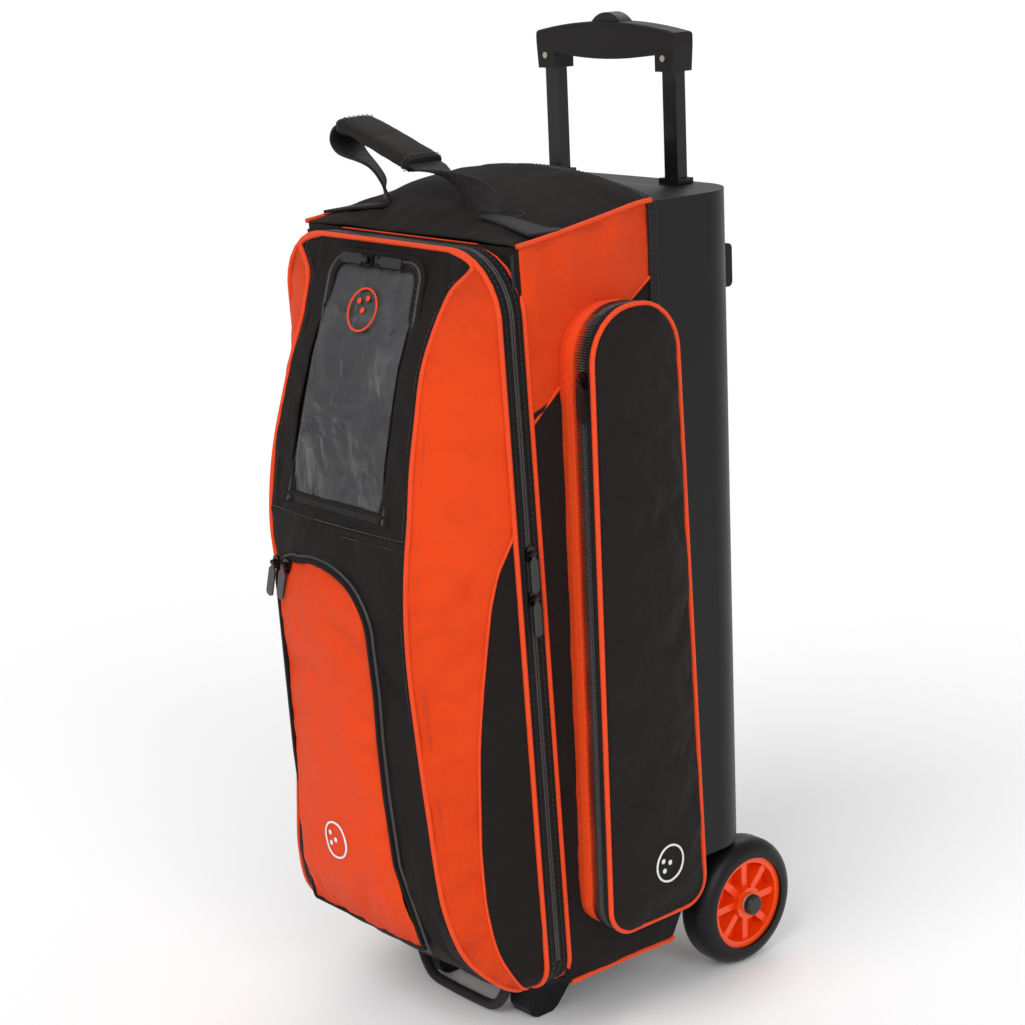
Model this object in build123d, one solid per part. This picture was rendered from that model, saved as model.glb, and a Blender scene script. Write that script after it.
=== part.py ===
from build123d import *
import math
import os

# Wheeled bowling bag for three balls stacked one above another.
# Millimetres, +Z up, the door faces -Y, the wheels are at +Y, X = 0 is the middle.
# Every shape is drawn with Y measured from the foot of the bag's front edge and is moved
# to the shared origin, the middle of the bounding box on the ground, when it is saved.

# --- driving dimensions ---
BALL_DIA = 216.0
BODY_WIDTH = 294.0
BODY_REAR = 265.0
SHELL_TOP = 762.0
BASE_HEIGHT = 66.0
DOOR_DROP = 24.0
SEAM_FOOT = 4.0
SEAM_LEAN = 0.036
GUSSET_HALF = 13.0
DOOR_CORNER = 28.0
DOOR_TOP_CORNER = 55.0
FABRIC = 3.0
GAP = 0.3
SLIM = 1.5

SHELL_FRONT = 145.0
WHEEL_ROOM = 7.0
SHELL_CORNER = 45.0
SHELL_WALL = 3.0
ARCH_GAP = 6.5
ARCH_SLOPE = 37.0
TRAY_WALL = 4.0

WHEEL_DIA = 127.0
WHEEL_WIDTH = 38.0
WHEEL_INSET = 2.0
HUB_RADIUS = 46.0
HUB_SPOKES = 8
AXLE_Y = 257.0
AXLE_RADIUS = 5.0
AXLE_RUN = 0.05
BUSH_RADIUS = 9.0
AXLE_BLOCK_GAP = 7.0

FOOT_X = 66.0
FOOT_WIDTH = 26.0
FOOT_FRONT = 24.0
SKID_HALF = 110.0
SKID_FOOT = 42.0
SKID_WALL = 3.0

TUBE_SPACING = 158.0
TUBE_Y = 246.0
TUBE_WIDE = 17.0
TUBE_DEEP = 12.0
TUBE_WALL = 1.2
TUBE_PLAY = 0.4
OUTER_WALL = 1.5
OUTER_LIFT = 6.0
LINER_GAP = 15.0
INNER_FOOT = 300.0
GRIP_RISE = 102.0
SOCKET_HIGH = 24.0
SOCKET_WIDE = 22.0
SOCKET_DEEP = 25.0
GRIP_THICK = 11.0
GRIP_ARCH = 9.0
GRIP_HALF = 92.0
BUTTON_HALF = 20.0
BUTTON_RISE = 8.0
BUTTON_TRAVEL = 5.0
ROD_RADIUS = 2.0
COLLAR_HEIGHT = 5.0
CATCH_RADIUS = 3.0
CATCH_LIFT = 20.0
BUMPER_DROP = 54.0
BUMPER_HIGH = 40.0
STATION_GAP = 20.0

POCKET_DEPTH = 50.0
POCKET_SPLIT = 33.0
POCKET_FRONT = 31.0
POCKET_REAR_FOOT = 150.0
POCKET_REAR_TOP = 130.0
POCKET_FOOT = 120.0
POCKET_DROP = 76.0
POCKET_TOP_CORNER = 46.0
POCKET_FOOT_CORNER = 25.0

WINDOW_HALF = 74.0
WINDOW_TOP_HALF = 68.0
WINDOW_GAP = 40.0
WINDOW_DROP = 9.0
WINDOW_BAND = 13.0
WINDOW_PROUD = 3.5
WINDOW_RECESS = 20.0

FLAP_PROUD = 14.0
FLAP_FOOT = 108.0
FLAP_TOP = 466.0

STRAP_WIDE = 38.0
STRAP_THICK = 4.0
SLEEVE_THICK = 13.0
HANDLE_Y = 35.0
HANDLE_NECK = 12.0
HANDLE_ANCHOR_X = 84.0
GRAB_HALF = 78.0
GRAB_LOW = 8.0
GRAB_RADIUS = 5.0

# front surface of the door, measured forward of the zipper plane:
# (drop below the door's top, depth, width of the sloping flank)
DOOR_UPPER = [(0.0, 16.0, 36.0), (38.0, 27.0, 47.0), (98.0, 55.0, 54.0),
              (178.0, 80.0, 49.0), (258.0, 94.0, 49.0)]
# (height above the base, depth, width of the sloping flank)
DOOR_LOWER = [(334.0, 94.0, 56.0), (250.0, 92.0, 57.0), (174.0, 93.0, 50.0),
              (94.0, 93.0, 38.0), (52.0, 82.0, 30.0), (22.0, 60.0, 24.0), (0.0, 34.0, 20.0)]

# --- derived places ---
HALF = BODY_WIDTH / 2
INSIDE = HALF - FABRIC
DOOR_TOP = SHELL_TOP - DOOR_DROP
POCKET_TOP = SHELL_TOP - POCKET_DROP
WINDOW_TOP = DOOR_TOP - WINDOW_DROP
WINDOW_FOOT = FLAP_TOP + WINDOW_GAP
SOCKET_FOOT = SHELL_TOP + GRIP_RISE
GRIP_SPLIT = SOCKET_FOOT + SOCKET_HIGH
GRIP_END = GRIP_SPLIT + GRIP_THICK
GRIP_CROWN = GRIP_END + GRIP_ARCH
CATCH_Z = INNER_FOOT + CATCH_LIFT
WHEEL_RADIUS = WHEEL_DIA / 2
SHELL_FOOT = WHEEL_DIA + WHEEL_ROOM
OUTER_FOOT = SHELL_FOOT + OUTER_LIFT
ARCH_REAR = AXLE_Y - WHEEL_RADIUS - ARCH_GAP
BASE_REAR = ARCH_REAR - ARCH_SLOPE
WHEEL_OUT = HALF - WHEEL_INSET
WHEEL_IN = WHEEL_OUT - WHEEL_WIDTH
BLOCK_HALF = WHEEL_IN - AXLE_BLOCK_GAP
TUBE_X = TUBE_SPACING / 2
LINER_Y = TUBE_Y - TUBE_DEEP / 2 - TUBE_PLAY - OUTER_WALL - LINER_GAP
SHELF_WALL = 5.0
RING_HEIGHT = 16.0
RING_HOLE = 62.0
FLOOR_Z = BASE_HEIGHT + TRAY_WALL
BALL_PITCH = BALL_DIA + SHELF_WALL + 4.0
BALL_Y = LINER_Y - BALL_DIA / 2 - 2.0


def seam_y(z):
    """Y of the leaning zipper plane, where the door meets the body, at height z."""
    return SEAM_FOOT - (z - BASE_HEIGHT) * SEAM_LEAN


def door_stations():
    """Heights, depths and flank widths of the door from its top to its foot."""
    upper = [(DOOR_TOP - drop, depth, flank) for drop, depth, flank in DOOR_UPPER]
    lower = [(BASE_HEIGHT + rise, depth, flank) for rise, depth, flank in DOOR_LOWER]
    return [s for s in upper if s[0] > lower[0][0] + STATION_GAP] + lower


def front_y(z):
    """Y of the door's front surface on its middle panel at height z."""
    stations = door_stations()
    for (za, da, _), (zb, db, _) in zip(stations, stations[1:]):
        if zb <= z <= za:
            share = (z - zb) / (za - zb)
            return seam_y(z) - (db + (da - db) * share)
    last = stations[0] if z > stations[0][0] else stations[-1]
    return seam_y(z) - last[1]


def yz_prism(points, x_low, x_high):
    """Solid of a side-view outline (Y, Z points) from x_low to x_high."""
    face = make_face(Polyline(*[(x_low, y, z) for y, z in points], close=True))
    return extrude(face, amount=x_high - x_low, dir=(1, 0, 0))


def block(x, y, z):
    """Box from its ranges along X, Y and Z."""
    size = Box(x[1] - x[0], y[1] - y[0], z[1] - z[0])
    return Pos((x[0] + x[1]) / 2, (y[0] + y[1]) / 2, (z[0] + z[1]) / 2) * size


def mirrored(shape):
    """The same piece on the other side of the middle plane."""
    return mirror(shape, about=Plane.YZ)


def rod(radius, centre, length, axis):
    """Cylinder about a centre point along X, Y or Z."""
    turn = {"X": Rot(0, 90, 0), "Y": Rot(90, 0, 0), "Z": Rot(0, 0, 0)}[axis]
    return Pos(*centre) * turn * Cylinder(radius, length)


# --- body of the bag ---
def seam_slab(near, far):
    """Everything between two planes parallel to the zipper plane, `near` and `far` behind it."""
    low = BASE_HEIGHT - 20
    high = DOOR_TOP + 20
    outline = [(seam_y(low) + near, low), (seam_y(high) + near, high),
               (seam_y(high) + far, high), (seam_y(low) + far, low)]
    return yz_prism(outline, -HALF - 20, HALF + 20)


def opening_outline(outer):
    """Front-view outline of the door opening, `outer` outside the body line."""
    height = DOOR_TOP - BASE_HEIGHT + 2 * outer
    face = make_face(Rectangle(BODY_WIDTH + 2 * outer, height).edges())
    face = fillet(face.vertices().group_by(Axis.Y)[-1], DOOR_TOP_CORNER + outer)
    face = fillet(face.vertices().group_by(Axis.Y)[0], DOOR_CORNER + outer)
    middle = (DOOR_TOP + BASE_HEIGHT) / 2
    return Plane(origin=(0, 150, middle), x_dir=(1, 0, 0), z_dir=(0, -1, 0)) * face


def seam_ring(outer, wall):
    """Rounded frame round the door opening, `outer` outside the body line, `wall` thick."""
    return extrude(opening_outline(outer) - opening_outline(outer - wall), amount=300)


def zipper_tape(near, far):
    return seam_ring(0, FABRIC) & seam_slab(near, far)


def zipper_chain(near, far):
    chain = seam_ring(SLIM, SLIM) & seam_slab(near, far)
    foot = block((-HALF - 20, HALF + 20), (-100, 100), (0, BASE_HEIGHT + DOOR_CORNER + 4))
    return chain - foot


# (Y, fall of the top side edge below the shell's top)
SIDE_TOP = [(SHELL_FRONT, 0.0), (129.0, 1.0), (86.0, 8.0), (40.0, 15.0)]
# (Y, rise of the dome's middle above its side edges)
TOP_CROWNS = [(40.0, 11.0), (86.0, 20.0), (129.0, 22.0), (SHELL_FRONT, 21.0)]
SHELL_DOME_REAR = 226.0
SHELL_CROWN = 1.0


def side_top(y):
    """Height of the body's top side edge at y, falling towards the front."""
    points = SIDE_TOP + [(seam_y(DOOR_TOP) + GUSSET_HALF, 21.0)]
    for (ya, da), (yb, db) in zip(points, points[1:]):
        if yb <= y <= ya:
            return SHELL_TOP - (db + (da - db) * (y - yb) / (ya - yb))
    return SHELL_TOP - points[-1][1]


def within_shell(shape):
    """The part of a shape that clears the rounded inside of the rear shell."""
    corners = block((-HALF, HALF), (SHELL_FRONT + 2, BODY_REAR + 1), (0, SHELL_TOP + 30))
    return shape - (corners - shell_prism(SHELL_WALL, 0, SHELL_TOP + 30))


def side_wall():
    front_top = seam_y(DOOR_TOP) + GUSSET_HALF
    outline = [(seam_y(BASE_HEIGHT) + GUSSET_HALF, BASE_HEIGHT), (BASE_REAR, BASE_HEIGHT),
               (ARCH_REAR, SHELL_FOOT), (SHELL_FRONT, SHELL_FOOT)]
    outline += [(y, SHELL_TOP - fall) for y, fall in SIDE_TOP]
    outline += [(front_top, side_top(front_top))]
    return yz_prism(outline, HALF - FABRIC, HALF)


def top_section(y, low, crown):
    """Thin arched section across the bag at y, its edges at `low`, `crown` higher in the middle."""
    lower = ThreePointArc((-HALF, y, low), (0, y, low + crown), (HALF, y, low))
    upper = ThreePointArc((HALF, y, low + FABRIC), (0, y, low + crown + FABRIC),
                          (-HALF, y, low + FABRIC))
    right = Line((HALF, y, low), (HALF, y, low + FABRIC))
    left = Line((-HALF, y, low + FABRIC), (-HALF, y, low))
    return make_face(lower + right + upper + left)


def top_panel():
    """Domed fabric top, from the door's seam back to the shell."""
    front = seam_y(DOOR_TOP) + GUSSET_HALF
    crowns = [(front, 1.0)] + TOP_CROWNS
    return loft([top_section(y, side_top(y), crown) for y, crown in crowns], ruled=True)


def shell_plan(inset):
    """Plan outline of the rear shell, `inset` inside its outer surface."""
    x = HALF - inset
    y = BODY_REAR - inset
    r = SHELL_CORNER - inset
    arc = r * (1 - math.sqrt(0.5))
    lines = Line((x, SHELL_FRONT), (x, y - r))
    lines += ThreePointArc((x, y - r), (x - arc, y - arc), (x - r, y))
    lines += Line((x - r, y), (-x + r, y))
    lines += ThreePointArc((-x + r, y), (-x + arc, y - arc), (-x, y - r))
    lines += Line((-x, y - r), (-x, SHELL_FRONT))
    lines += Line((-x, SHELL_FRONT), (x, SHELL_FRONT))
    return make_face(lines)


def shell_prism(inset, low, high):
    return extrude(Pos(0, 0, low) * shell_plan(inset), amount=high - low)


def back_shell():
    """Rigid rear shell: a U of walls under a top that is domed at the front."""
    walls = shell_prism(0, SHELL_FOOT, SHELL_TOP - 1)
    hollow = shell_prism(SHELL_WALL, SHELL_FOOT - 1, SHELL_TOP + 1)
    reach = block((-HALF + SHELL_WALL, HALF - SHELL_WALL), (SHELL_FRONT - 1, SHELL_FRONT + 2),
                  (SHELL_FOOT - 1, SHELL_TOP + 1))
    return walls - hollow - reach + shell_top()


def tube_holes(extra, low, high):
    """Cutters for both tubes, `extra` larger all round than the inner tube."""
    cutter = block((TUBE_X - TUBE_WIDE / 2 - extra, TUBE_X + TUBE_WIDE / 2 + extra),
                   (TUBE_Y - TUBE_DEEP / 2 - extra, TUBE_Y + TUBE_DEEP / 2 + extra), (low, high))
    return cutter + mirrored(cutter)


def shell_top():
    low = SHELL_TOP - FABRIC
    crowns = [(SHELL_FRONT, TOP_CROWNS[-1][1]), (SHELL_DOME_REAR, SHELL_CROWN),
              (BODY_REAR + 1, SHELL_CROWN)]
    dome = loft([top_section(y, low, crown) for y, crown in crowns], ruled=True)
    top = dome & shell_prism(0, low - 1, SHELL_TOP + 40)
    return top - tube_holes(TUBE_PLAY + OUTER_WALL, low - 9, SHELL_TOP + 9)


def base_tray():
    """Moulded floor with a well over each wheel and a deep middle between them."""
    front = seam_y(BASE_HEIGHT) + GUSSET_HALF
    back = BODY_REAR - SHELL_WALL
    ledge = SHELL_FOOT + TRAY_WALL
    deep = LINER_Y + TRAY_WALL
    outline = [(front, BASE_HEIGHT), (BASE_REAR, BASE_HEIGHT), (ARCH_REAR, SHELL_FOOT),
               (back, SHELL_FOOT), (back, ledge), (ARCH_REAR - 2, ledge),
               (BASE_REAR - 2, FLOOR_Z), (front, FLOOR_Z)]
    side = yz_prism(outline, BLOCK_HALF - TRAY_WALL, INSIDE)
    well = yz_prism([(BASE_REAR, BASE_HEIGHT), (ARCH_REAR, ledge), (deep, ledge),
                     (deep, BASE_HEIGHT)], BLOCK_HALF - TRAY_WALL, BLOCK_HALF)
    floor = block((-BLOCK_HALF, BLOCK_HALF), (front, deep), (BASE_HEIGHT, FLOOR_Z))
    rear = block((-BLOCK_HALF, BLOCK_HALF), (LINER_Y, deep), (BASE_HEIGHT, ledge))
    shelf = block((-BLOCK_HALF, BLOCK_HALF), (LINER_Y, back), (SHELL_FOOT, ledge))
    return within_shell(side + mirrored(side) + well + mirrored(well) + floor + rear + shelf)


def ball_shelf(level):
    z = FLOOR_Z + level * BALL_PITCH
    front = seam_y(z) + GUSSET_HALF
    return within_shell(block((-INSIDE, INSIDE), (front, LINER_Y), (z - SHELF_WALL, z)))


def ball_ring(level):
    """Foam ring that a ball settles into."""
    z = FLOOR_Z + level * BALL_PITCH
    half = min(BALL_DIA / 2 - 10, BLOCK_HALF - TRAY_WALL - GAP)
    front = max(seam_y(z) + GUSSET_HALF + GAP, BALL_Y - half)
    pad = block((-half, half), (front, BALL_Y + half), (z, z + RING_HEIGHT))
    return pad - rod(RING_HOLE, (0, BALL_Y, z + RING_HEIGHT / 2), RING_HEIGHT + 2, "Z")


def rear_liner():
    foot = SHELL_FOOT + TRAY_WALL
    liner = block((-INSIDE, INSIDE), (LINER_Y, LINER_Y + FABRIC), (foot, SHELL_TOP - FABRIC))
    return within_shell(liner)


def outer_tubes():
    """Both fixed tubes, each with a collar on top of the shell."""
    seat = SHELL_TOP + SHELL_CROWN
    top = seat + COLLAR_HEIGHT
    tubes = tube_holes(TUBE_PLAY + OUTER_WALL, OUTER_FOOT, seat)
    collars = tube_holes(TUBE_PLAY + OUTER_WALL + 2, seat, top)
    return tubes + collars - tube_holes(TUBE_PLAY, OUTER_FOOT - 1, top + 1)


def rear_bumpers():
    x = HALF - SHELL_CORNER + 4
    top = SHELL_TOP - BUMPER_DROP
    pad = block((x - 15, x + 15), (BODY_REAR - 12, BODY_REAR + 9),
                (top - BUMPER_HIGH, top))
    pad = fillet(pad.edges().filter_by(Axis.X).group_by(Axis.Y)[-1], 5)
    pad = pad - shell_prism(0, SHELL_FOOT, SHELL_TOP)
    return pad + mirrored(pad)


def front_feet():
    """Hollow skid under the base with two feet growing out of it."""
    top = BASE_HEIGHT
    skid = [(FOOT_FRONT - 4, top), (FOOT_FRONT, SKID_FOOT + 6), (FOOT_FRONT + 42, SKID_FOOT + 4),
            (BASE_REAR - 30, SKID_FOOT), (BASE_REAR - 6, top)]
    hollow = [(FOOT_FRONT + 1, top + 1), (FOOT_FRONT + 3, SKID_FOOT + 10),
              (BASE_REAR - 32, SKID_FOOT + 4), (BASE_REAR - 12, top + 1)]
    body = yz_prism(skid, -SKID_HALF, SKID_HALF)
    body = body - yz_prism(hollow, -SKID_HALF + SKID_WALL, SKID_HALF - SKID_WALL)
    foot = [(FOOT_FRONT, SKID_FOOT + 6), (FOOT_FRONT, 12), (FOOT_FRONT + 5, 3),
            (FOOT_FRONT + 12, 0), (FOOT_FRONT + 30, 0), (FOOT_FRONT + 37, 4),
            (FOOT_FRONT + 52, 20), (FOOT_FRONT + 66, SKID_FOOT + 3.2)]
    leg = yz_prism(foot, FOOT_X - FOOT_WIDTH / 2, FOOT_X + FOOT_WIDTH / 2)
    return body + leg + mirrored(leg)


def axle_block():
    """Beam between the wheels that holds the axle, under the shell's rear edge."""
    near = LINER_Y + TRAY_WALL + GAP
    outline = [(near, SHELL_FOOT), (near, 84), (AXLE_Y - 14, WHEEL_RADIUS - 16),
               (AXLE_Y + 14, WHEEL_RADIUS - 16), (AXLE_Y + 22, WHEEL_RADIUS),
               (BODY_REAR - SHELL_WALL, SHELL_FOOT)]
    body = yz_prism(outline, -BLOCK_HALF, BLOCK_HALF)
    return body - rod(AXLE_RADIUS, (0, AXLE_Y, WHEEL_RADIUS), 2 * BLOCK_HALF + 4, "X")


def axle():
    return rod(AXLE_RADIUS, (0, AXLE_Y, WHEEL_RADIUS), 2 * (WHEEL_OUT + 3), "X")


def axle_caps():
    x = WHEEL_OUT + 2
    cap = rod(BUSH_RADIUS + 1, (x + 3, AXLE_Y, WHEEL_RADIUS), 6, "X")
    cap = fillet(cap.edges().sort_by(Axis.X)[-1], 3)
    cap = cap - rod(AXLE_RADIUS, (x, AXLE_Y, WHEEL_RADIUS), 2, "X")
    return cap + mirrored(cap)


# --- wheels ---
def wheel_place(shape):
    return Pos((WHEEL_IN + WHEEL_OUT) / 2, AXLE_Y, WHEEL_RADIUS) * Rot(0, 90, 0) * shape


def ring(outer, inner, height):
    return Cylinder(outer, height) - Cylinder(inner, height + 2)


def tyre():
    body = Cylinder(WHEEL_RADIUS, WHEEL_WIDTH)
    body = fillet(body.edges(), 14)
    return wheel_place(body - Cylinder(HUB_RADIUS, WHEEL_WIDTH + 2))


def hub():
    rim = ring(HUB_RADIUS, HUB_RADIUS - 6, WHEEL_WIDTH - 8)
    boss = Cylinder(BUSH_RADIUS + 7, WHEEL_WIDTH - 2)
    web = Pos(0, 0, -4) * Cylinder(HUB_RADIUS - 3, 5)
    wheel = rim + boss + web
    for index in range(HUB_SPOKES):
        spoke = Pos((HUB_RADIUS + BUSH_RADIUS) / 2, 0, 3) * Box(HUB_RADIUS - BUSH_RADIUS - 4, 7, 18)
        wheel = wheel + Rot(0, 0, index * 360 / HUB_SPOKES) * spoke
    return wheel_place(wheel - Cylinder(BUSH_RADIUS, WHEEL_WIDTH + 2))


def wheel_bush():
    return wheel_place(ring(BUSH_RADIUS, AXLE_RADIUS + AXLE_RUN, WHEEL_WIDTH))


# --- telescopic handle ---
def inner_tube():
    wide = TUBE_WIDE / 2
    deep = TUBE_DEEP / 2
    top = GRIP_SPLIT - 6
    tube = block((TUBE_X - wide, TUBE_X + wide), (TUBE_Y - deep, TUBE_Y + deep), (INNER_FOOT, top))
    bore = block((TUBE_X - wide + TUBE_WALL, TUBE_X + wide - TUBE_WALL),
                 (TUBE_Y - deep + TUBE_WALL, TUBE_Y + deep - TUBE_WALL), (INNER_FOOT - 1, top + 1))
    port = rod(CATCH_RADIUS + GAP, (TUBE_X - wide, TUBE_Y, CATCH_Z), 8, "X")
    return tube - bore - port


def catch_pin():
    """Pin in the foot of the inner tube, ridden flush against the outer tube's wall."""
    tip = TUBE_X - TUBE_WIDE / 2
    return rod(CATCH_RADIUS, (tip + 4, TUBE_Y, CATCH_Z), 8, "X")


def grip_lower():
    """Under half of the grip with both sockets and the bowed underside."""
    deep = SOCKET_DEEP / 2
    inner = TUBE_X - SOCKET_WIDE / 2
    lines = Line((-GRIP_HALF, GRIP_SPLIT), (-TUBE_X - SOCKET_WIDE / 2, SOCKET_FOOT))
    lines += Line((-TUBE_X - SOCKET_WIDE / 2, SOCKET_FOOT), (-inner, SOCKET_FOOT))
    lines += Line((-inner, SOCKET_FOOT), (-inner, GRIP_SPLIT - 9))
    lines += ThreePointArc((-inner, GRIP_SPLIT - 9), (0, GRIP_SPLIT - 14), (inner, GRIP_SPLIT - 9))
    lines += Line((inner, GRIP_SPLIT - 9), (inner, SOCKET_FOOT))
    lines += Line((inner, SOCKET_FOOT), (TUBE_X + SOCKET_WIDE / 2, SOCKET_FOOT))
    lines += Line((TUBE_X + SOCKET_WIDE / 2, SOCKET_FOOT), (GRIP_HALF, GRIP_SPLIT))
    lines += Line((GRIP_HALF, GRIP_SPLIT), (-GRIP_HALF, GRIP_SPLIT))
    profile = make_face(Pos(0, TUBE_Y - deep, 0) * Rot(90, 0, 0) * lines)
    body = extrude(profile, amount=SOCKET_DEEP, dir=(0, 1, 0))
    sockets = tube_holes(0, SOCKET_FOOT - 1, GRIP_SPLIT - 6)
    wells = rod(ROD_RADIUS + GAP, (TUBE_X, TUBE_Y, GRIP_SPLIT), 20, "Z")
    return body - sockets - wells - mirrored(wells)


def grip_upper():
    """Arched top half of the grip, hollow for the release bar, open for the button."""
    deep = SOCKET_DEEP / 2
    lines = Line((-GRIP_HALF, GRIP_SPLIT), (-GRIP_HALF, GRIP_END))
    lines += ThreePointArc((-GRIP_HALF, GRIP_END), (0, GRIP_CROWN), (GRIP_HALF, GRIP_END))
    lines += Line((GRIP_HALF, GRIP_END), (GRIP_HALF, GRIP_SPLIT))
    lines += Line((GRIP_HALF, GRIP_SPLIT), (-GRIP_HALF, GRIP_SPLIT))
    profile = make_face(Pos(0, TUBE_Y - deep, 0) * Rot(90, 0, 0) * lines)
    body = extrude(profile, amount=SOCKET_DEEP, dir=(0, 1, 0))
    body = fillet(body.edges().filter_by(GeomType.CIRCLE), 4)
    hollow = block((-GRIP_HALF + 4, GRIP_HALF - 4), (TUBE_Y - 8, TUBE_Y + 8),
                   (GRIP_SPLIT - 1, GRIP_END - 3))
    mouth = block((-BUTTON_HALF - GAP, BUTTON_HALF + GAP), (TUBE_Y - 7.5 - GAP, TUBE_Y + 7.5 + GAP),
                  (GRIP_SPLIT, GRIP_CROWN + 5))
    return body - hollow - mouth


def grip_rivets():
    rivet = rod(3, (TUBE_X, TUBE_Y - SOCKET_DEEP / 2 - 0.75, SOCKET_FOOT + 12), 1.5, "Y")
    return rivet + mirrored(rivet)


def push_button():
    """Domed button with its stem down to the release bar."""
    low = GRIP_END - 4
    top = GRIP_CROWN + BUTTON_RISE
    rim = GRIP_CROWN - 1
    lines = Line((-BUTTON_HALF, low), (-BUTTON_HALF, rim))
    lines += ThreePointArc((-BUTTON_HALF, rim), (0, top), (BUTTON_HALF, rim))
    lines += Line((BUTTON_HALF, rim), (BUTTON_HALF, low))
    lines += Line((BUTTON_HALF, low), (-BUTTON_HALF, low))
    profile = make_face(Pos(0, TUBE_Y - 7.5, 0) * Rot(90, 0, 0) * lines)
    return extrude(profile, amount=15, dir=(0, 1, 0))


def release_bar():
    """Bar under the button with a rod down the inside of each inner tube."""
    low = GRIP_SPLIT + BUTTON_TRAVEL + 0.4
    high = GRIP_END - 4
    bar = block((-TUBE_X - 4, TUBE_X + 4), (TUBE_Y - 3, TUBE_Y + 3), (low, high))
    foot = CATCH_Z + CATCH_RADIUS + BUTTON_TRAVEL + 1
    length = low - foot
    stem = rod(ROD_RADIUS, (TUBE_X, TUBE_Y, foot + length / 2), length, "Z")
    return bar + stem + mirrored(stem)


# --- front door ---
def door_section(z, depth, flank, inset, reach):
    """Plan outline of the door at height z; `reach` is how far behind its seam it runs."""
    x = HALF - inset
    rear = seam_y(z) - GUSSET_HALF + reach
    mid = seam_y(z) - GUSSET_HALF - 0.5
    front = seam_y(z) - depth + inset
    knee = HALF - flank - inset * 0.6
    return make_face(Polyline((-x, rear, z), (-x, mid, z), (-knee, front, z), (knee, front, z),
                              (x, mid, z), (x, rear, z), close=True))


def door_solid(inset, reach):
    """The door's outer form, or its hollow when inset by the fabric."""
    sections = []
    for z, depth, flank in door_stations():
        level = min(max(z, BASE_HEIGHT + inset), DOOR_TOP - inset)
        sections.append(door_section(level, depth, flank, inset, reach))
    solid = loft(sections, ruled=True)
    return solid & extrude(opening_outline(-inset), amount=400)


def front_profile(low, high, rear, front):
    """Side-view band that follows the door's front surface, `rear` to `front` ahead of it."""
    heights = [z for z, _, _ in door_stations() if low < z < high]
    heights = [high] + heights + [low]
    band = [(front_y(z) - front, z) for z in heights]
    return band + [(front_y(z) - rear, z) for z in reversed(heights)]


def front_band(low, high, rear, front):
    return yz_prism(front_profile(low, high, rear, front), -HALF, HALF)


def window_outline(inset):
    """Front-view outline of the window flap: straight foot, rounded top."""
    foot = WINDOW_HALF - inset
    top = WINDOW_TOP_HALF - inset
    low = WINDOW_FOOT + min(inset, 3)
    high = WINDOW_TOP - inset
    face = make_face(Polyline((-foot, 0, low), (foot, 0, low), (top, 0, high), (-top, 0, high),
                              close=True))
    corners = face.vertices().group_by(Axis.Z)[-1]
    face = fillet(corners, 24 - inset * 0.5)
    return extrude(Pos(0, 150, 0) * face, amount=400, dir=(0, -1, 0))


def flap_outline(inset):
    """Front-view outline of the lower pocket's flap: narrow at its top left, wide at its foot."""
    low = FLAP_FOOT + min(inset, 4)
    lines = Line((-HALF + 50 + inset, low), (-HALF + 58 + inset, FLAP_TOP - 40))
    lines += ThreePointArc((-HALF + 58 + inset, FLAP_TOP - 40), (-68, FLAP_TOP - inset),
                           (-30, FLAP_TOP - 15 - inset))
    lines += ThreePointArc((-30, FLAP_TOP - 15 - inset), (34 - inset, FLAP_TOP - 70),
                           (56 - inset, FLAP_TOP - 170))
    lines += Line((56 - inset, FLAP_TOP - 170), (HALF - 52 - inset, low))
    lines += Line((HALF - 52 - inset, low), (-HALF + 50 + inset, low))
    face = make_face(Pos(0, 150, 0) * Rot(90, 0, 0) * lines)
    return extrude(face, amount=400, dir=(0, -1, 0))


def door_shell():
    shell = door_solid(0, 0) - door_solid(FABRIC, 20)
    return shell - window_outline(WINDOW_BAND - 5)


def shoe_net():
    low = BASE_HEIGHT + DOOR_CORNER
    high = BASE_HEIGHT + 230
    near = -GUSSET_HALF + 2
    outline = [(seam_y(low) + near, low), (seam_y(high) + near, high),
               (seam_y(high) + near + SLIM, high), (seam_y(low) + near + SLIM, low)]
    return yz_prism(outline, -INSIDE, INSIDE)


def window_tray():
    """Back of the window pocket, set into the door behind the clear pane."""
    back = WINDOW_RECESS
    low = WINDOW_FOOT + 4
    high = WINDOW_TOP - 14
    deep = front_band(low, high, -back, -FABRIC - 2.5)
    hollow = front_band(low - 1, high + 1, -back + SLIM, 5)
    return (deep & window_outline(WINDOW_BAND - 8)) - (hollow & window_outline(WINDOW_BAND - 6))


def window_plate():
    return front_band(WINDOW_FOOT - 1, WINDOW_TOP + 1, GAP, WINDOW_PROUD)


def window_frame():
    return (window_plate() & window_outline(0)) - window_outline(WINDOW_BAND)


def window_pane():
    plate = front_band(WINDOW_FOOT - 1, WINDOW_TOP + 1, GAP + 0.8, GAP + 0.8 + SLIM)
    return plate & window_outline(WINDOW_BAND)


def pocket_flap():
    """Face and gusset of the lower front pocket, open towards the door."""
    solid = front_band(FLAP_FOOT - 1, FLAP_TOP + 9, GAP, FLAP_PROUD) & flap_outline(0)
    hollow = front_band(FLAP_FOOT - 2, FLAP_TOP + 10, -1, FLAP_PROUD - FABRIC)
    return solid - (hollow & flap_outline(FABRIC))


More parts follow.
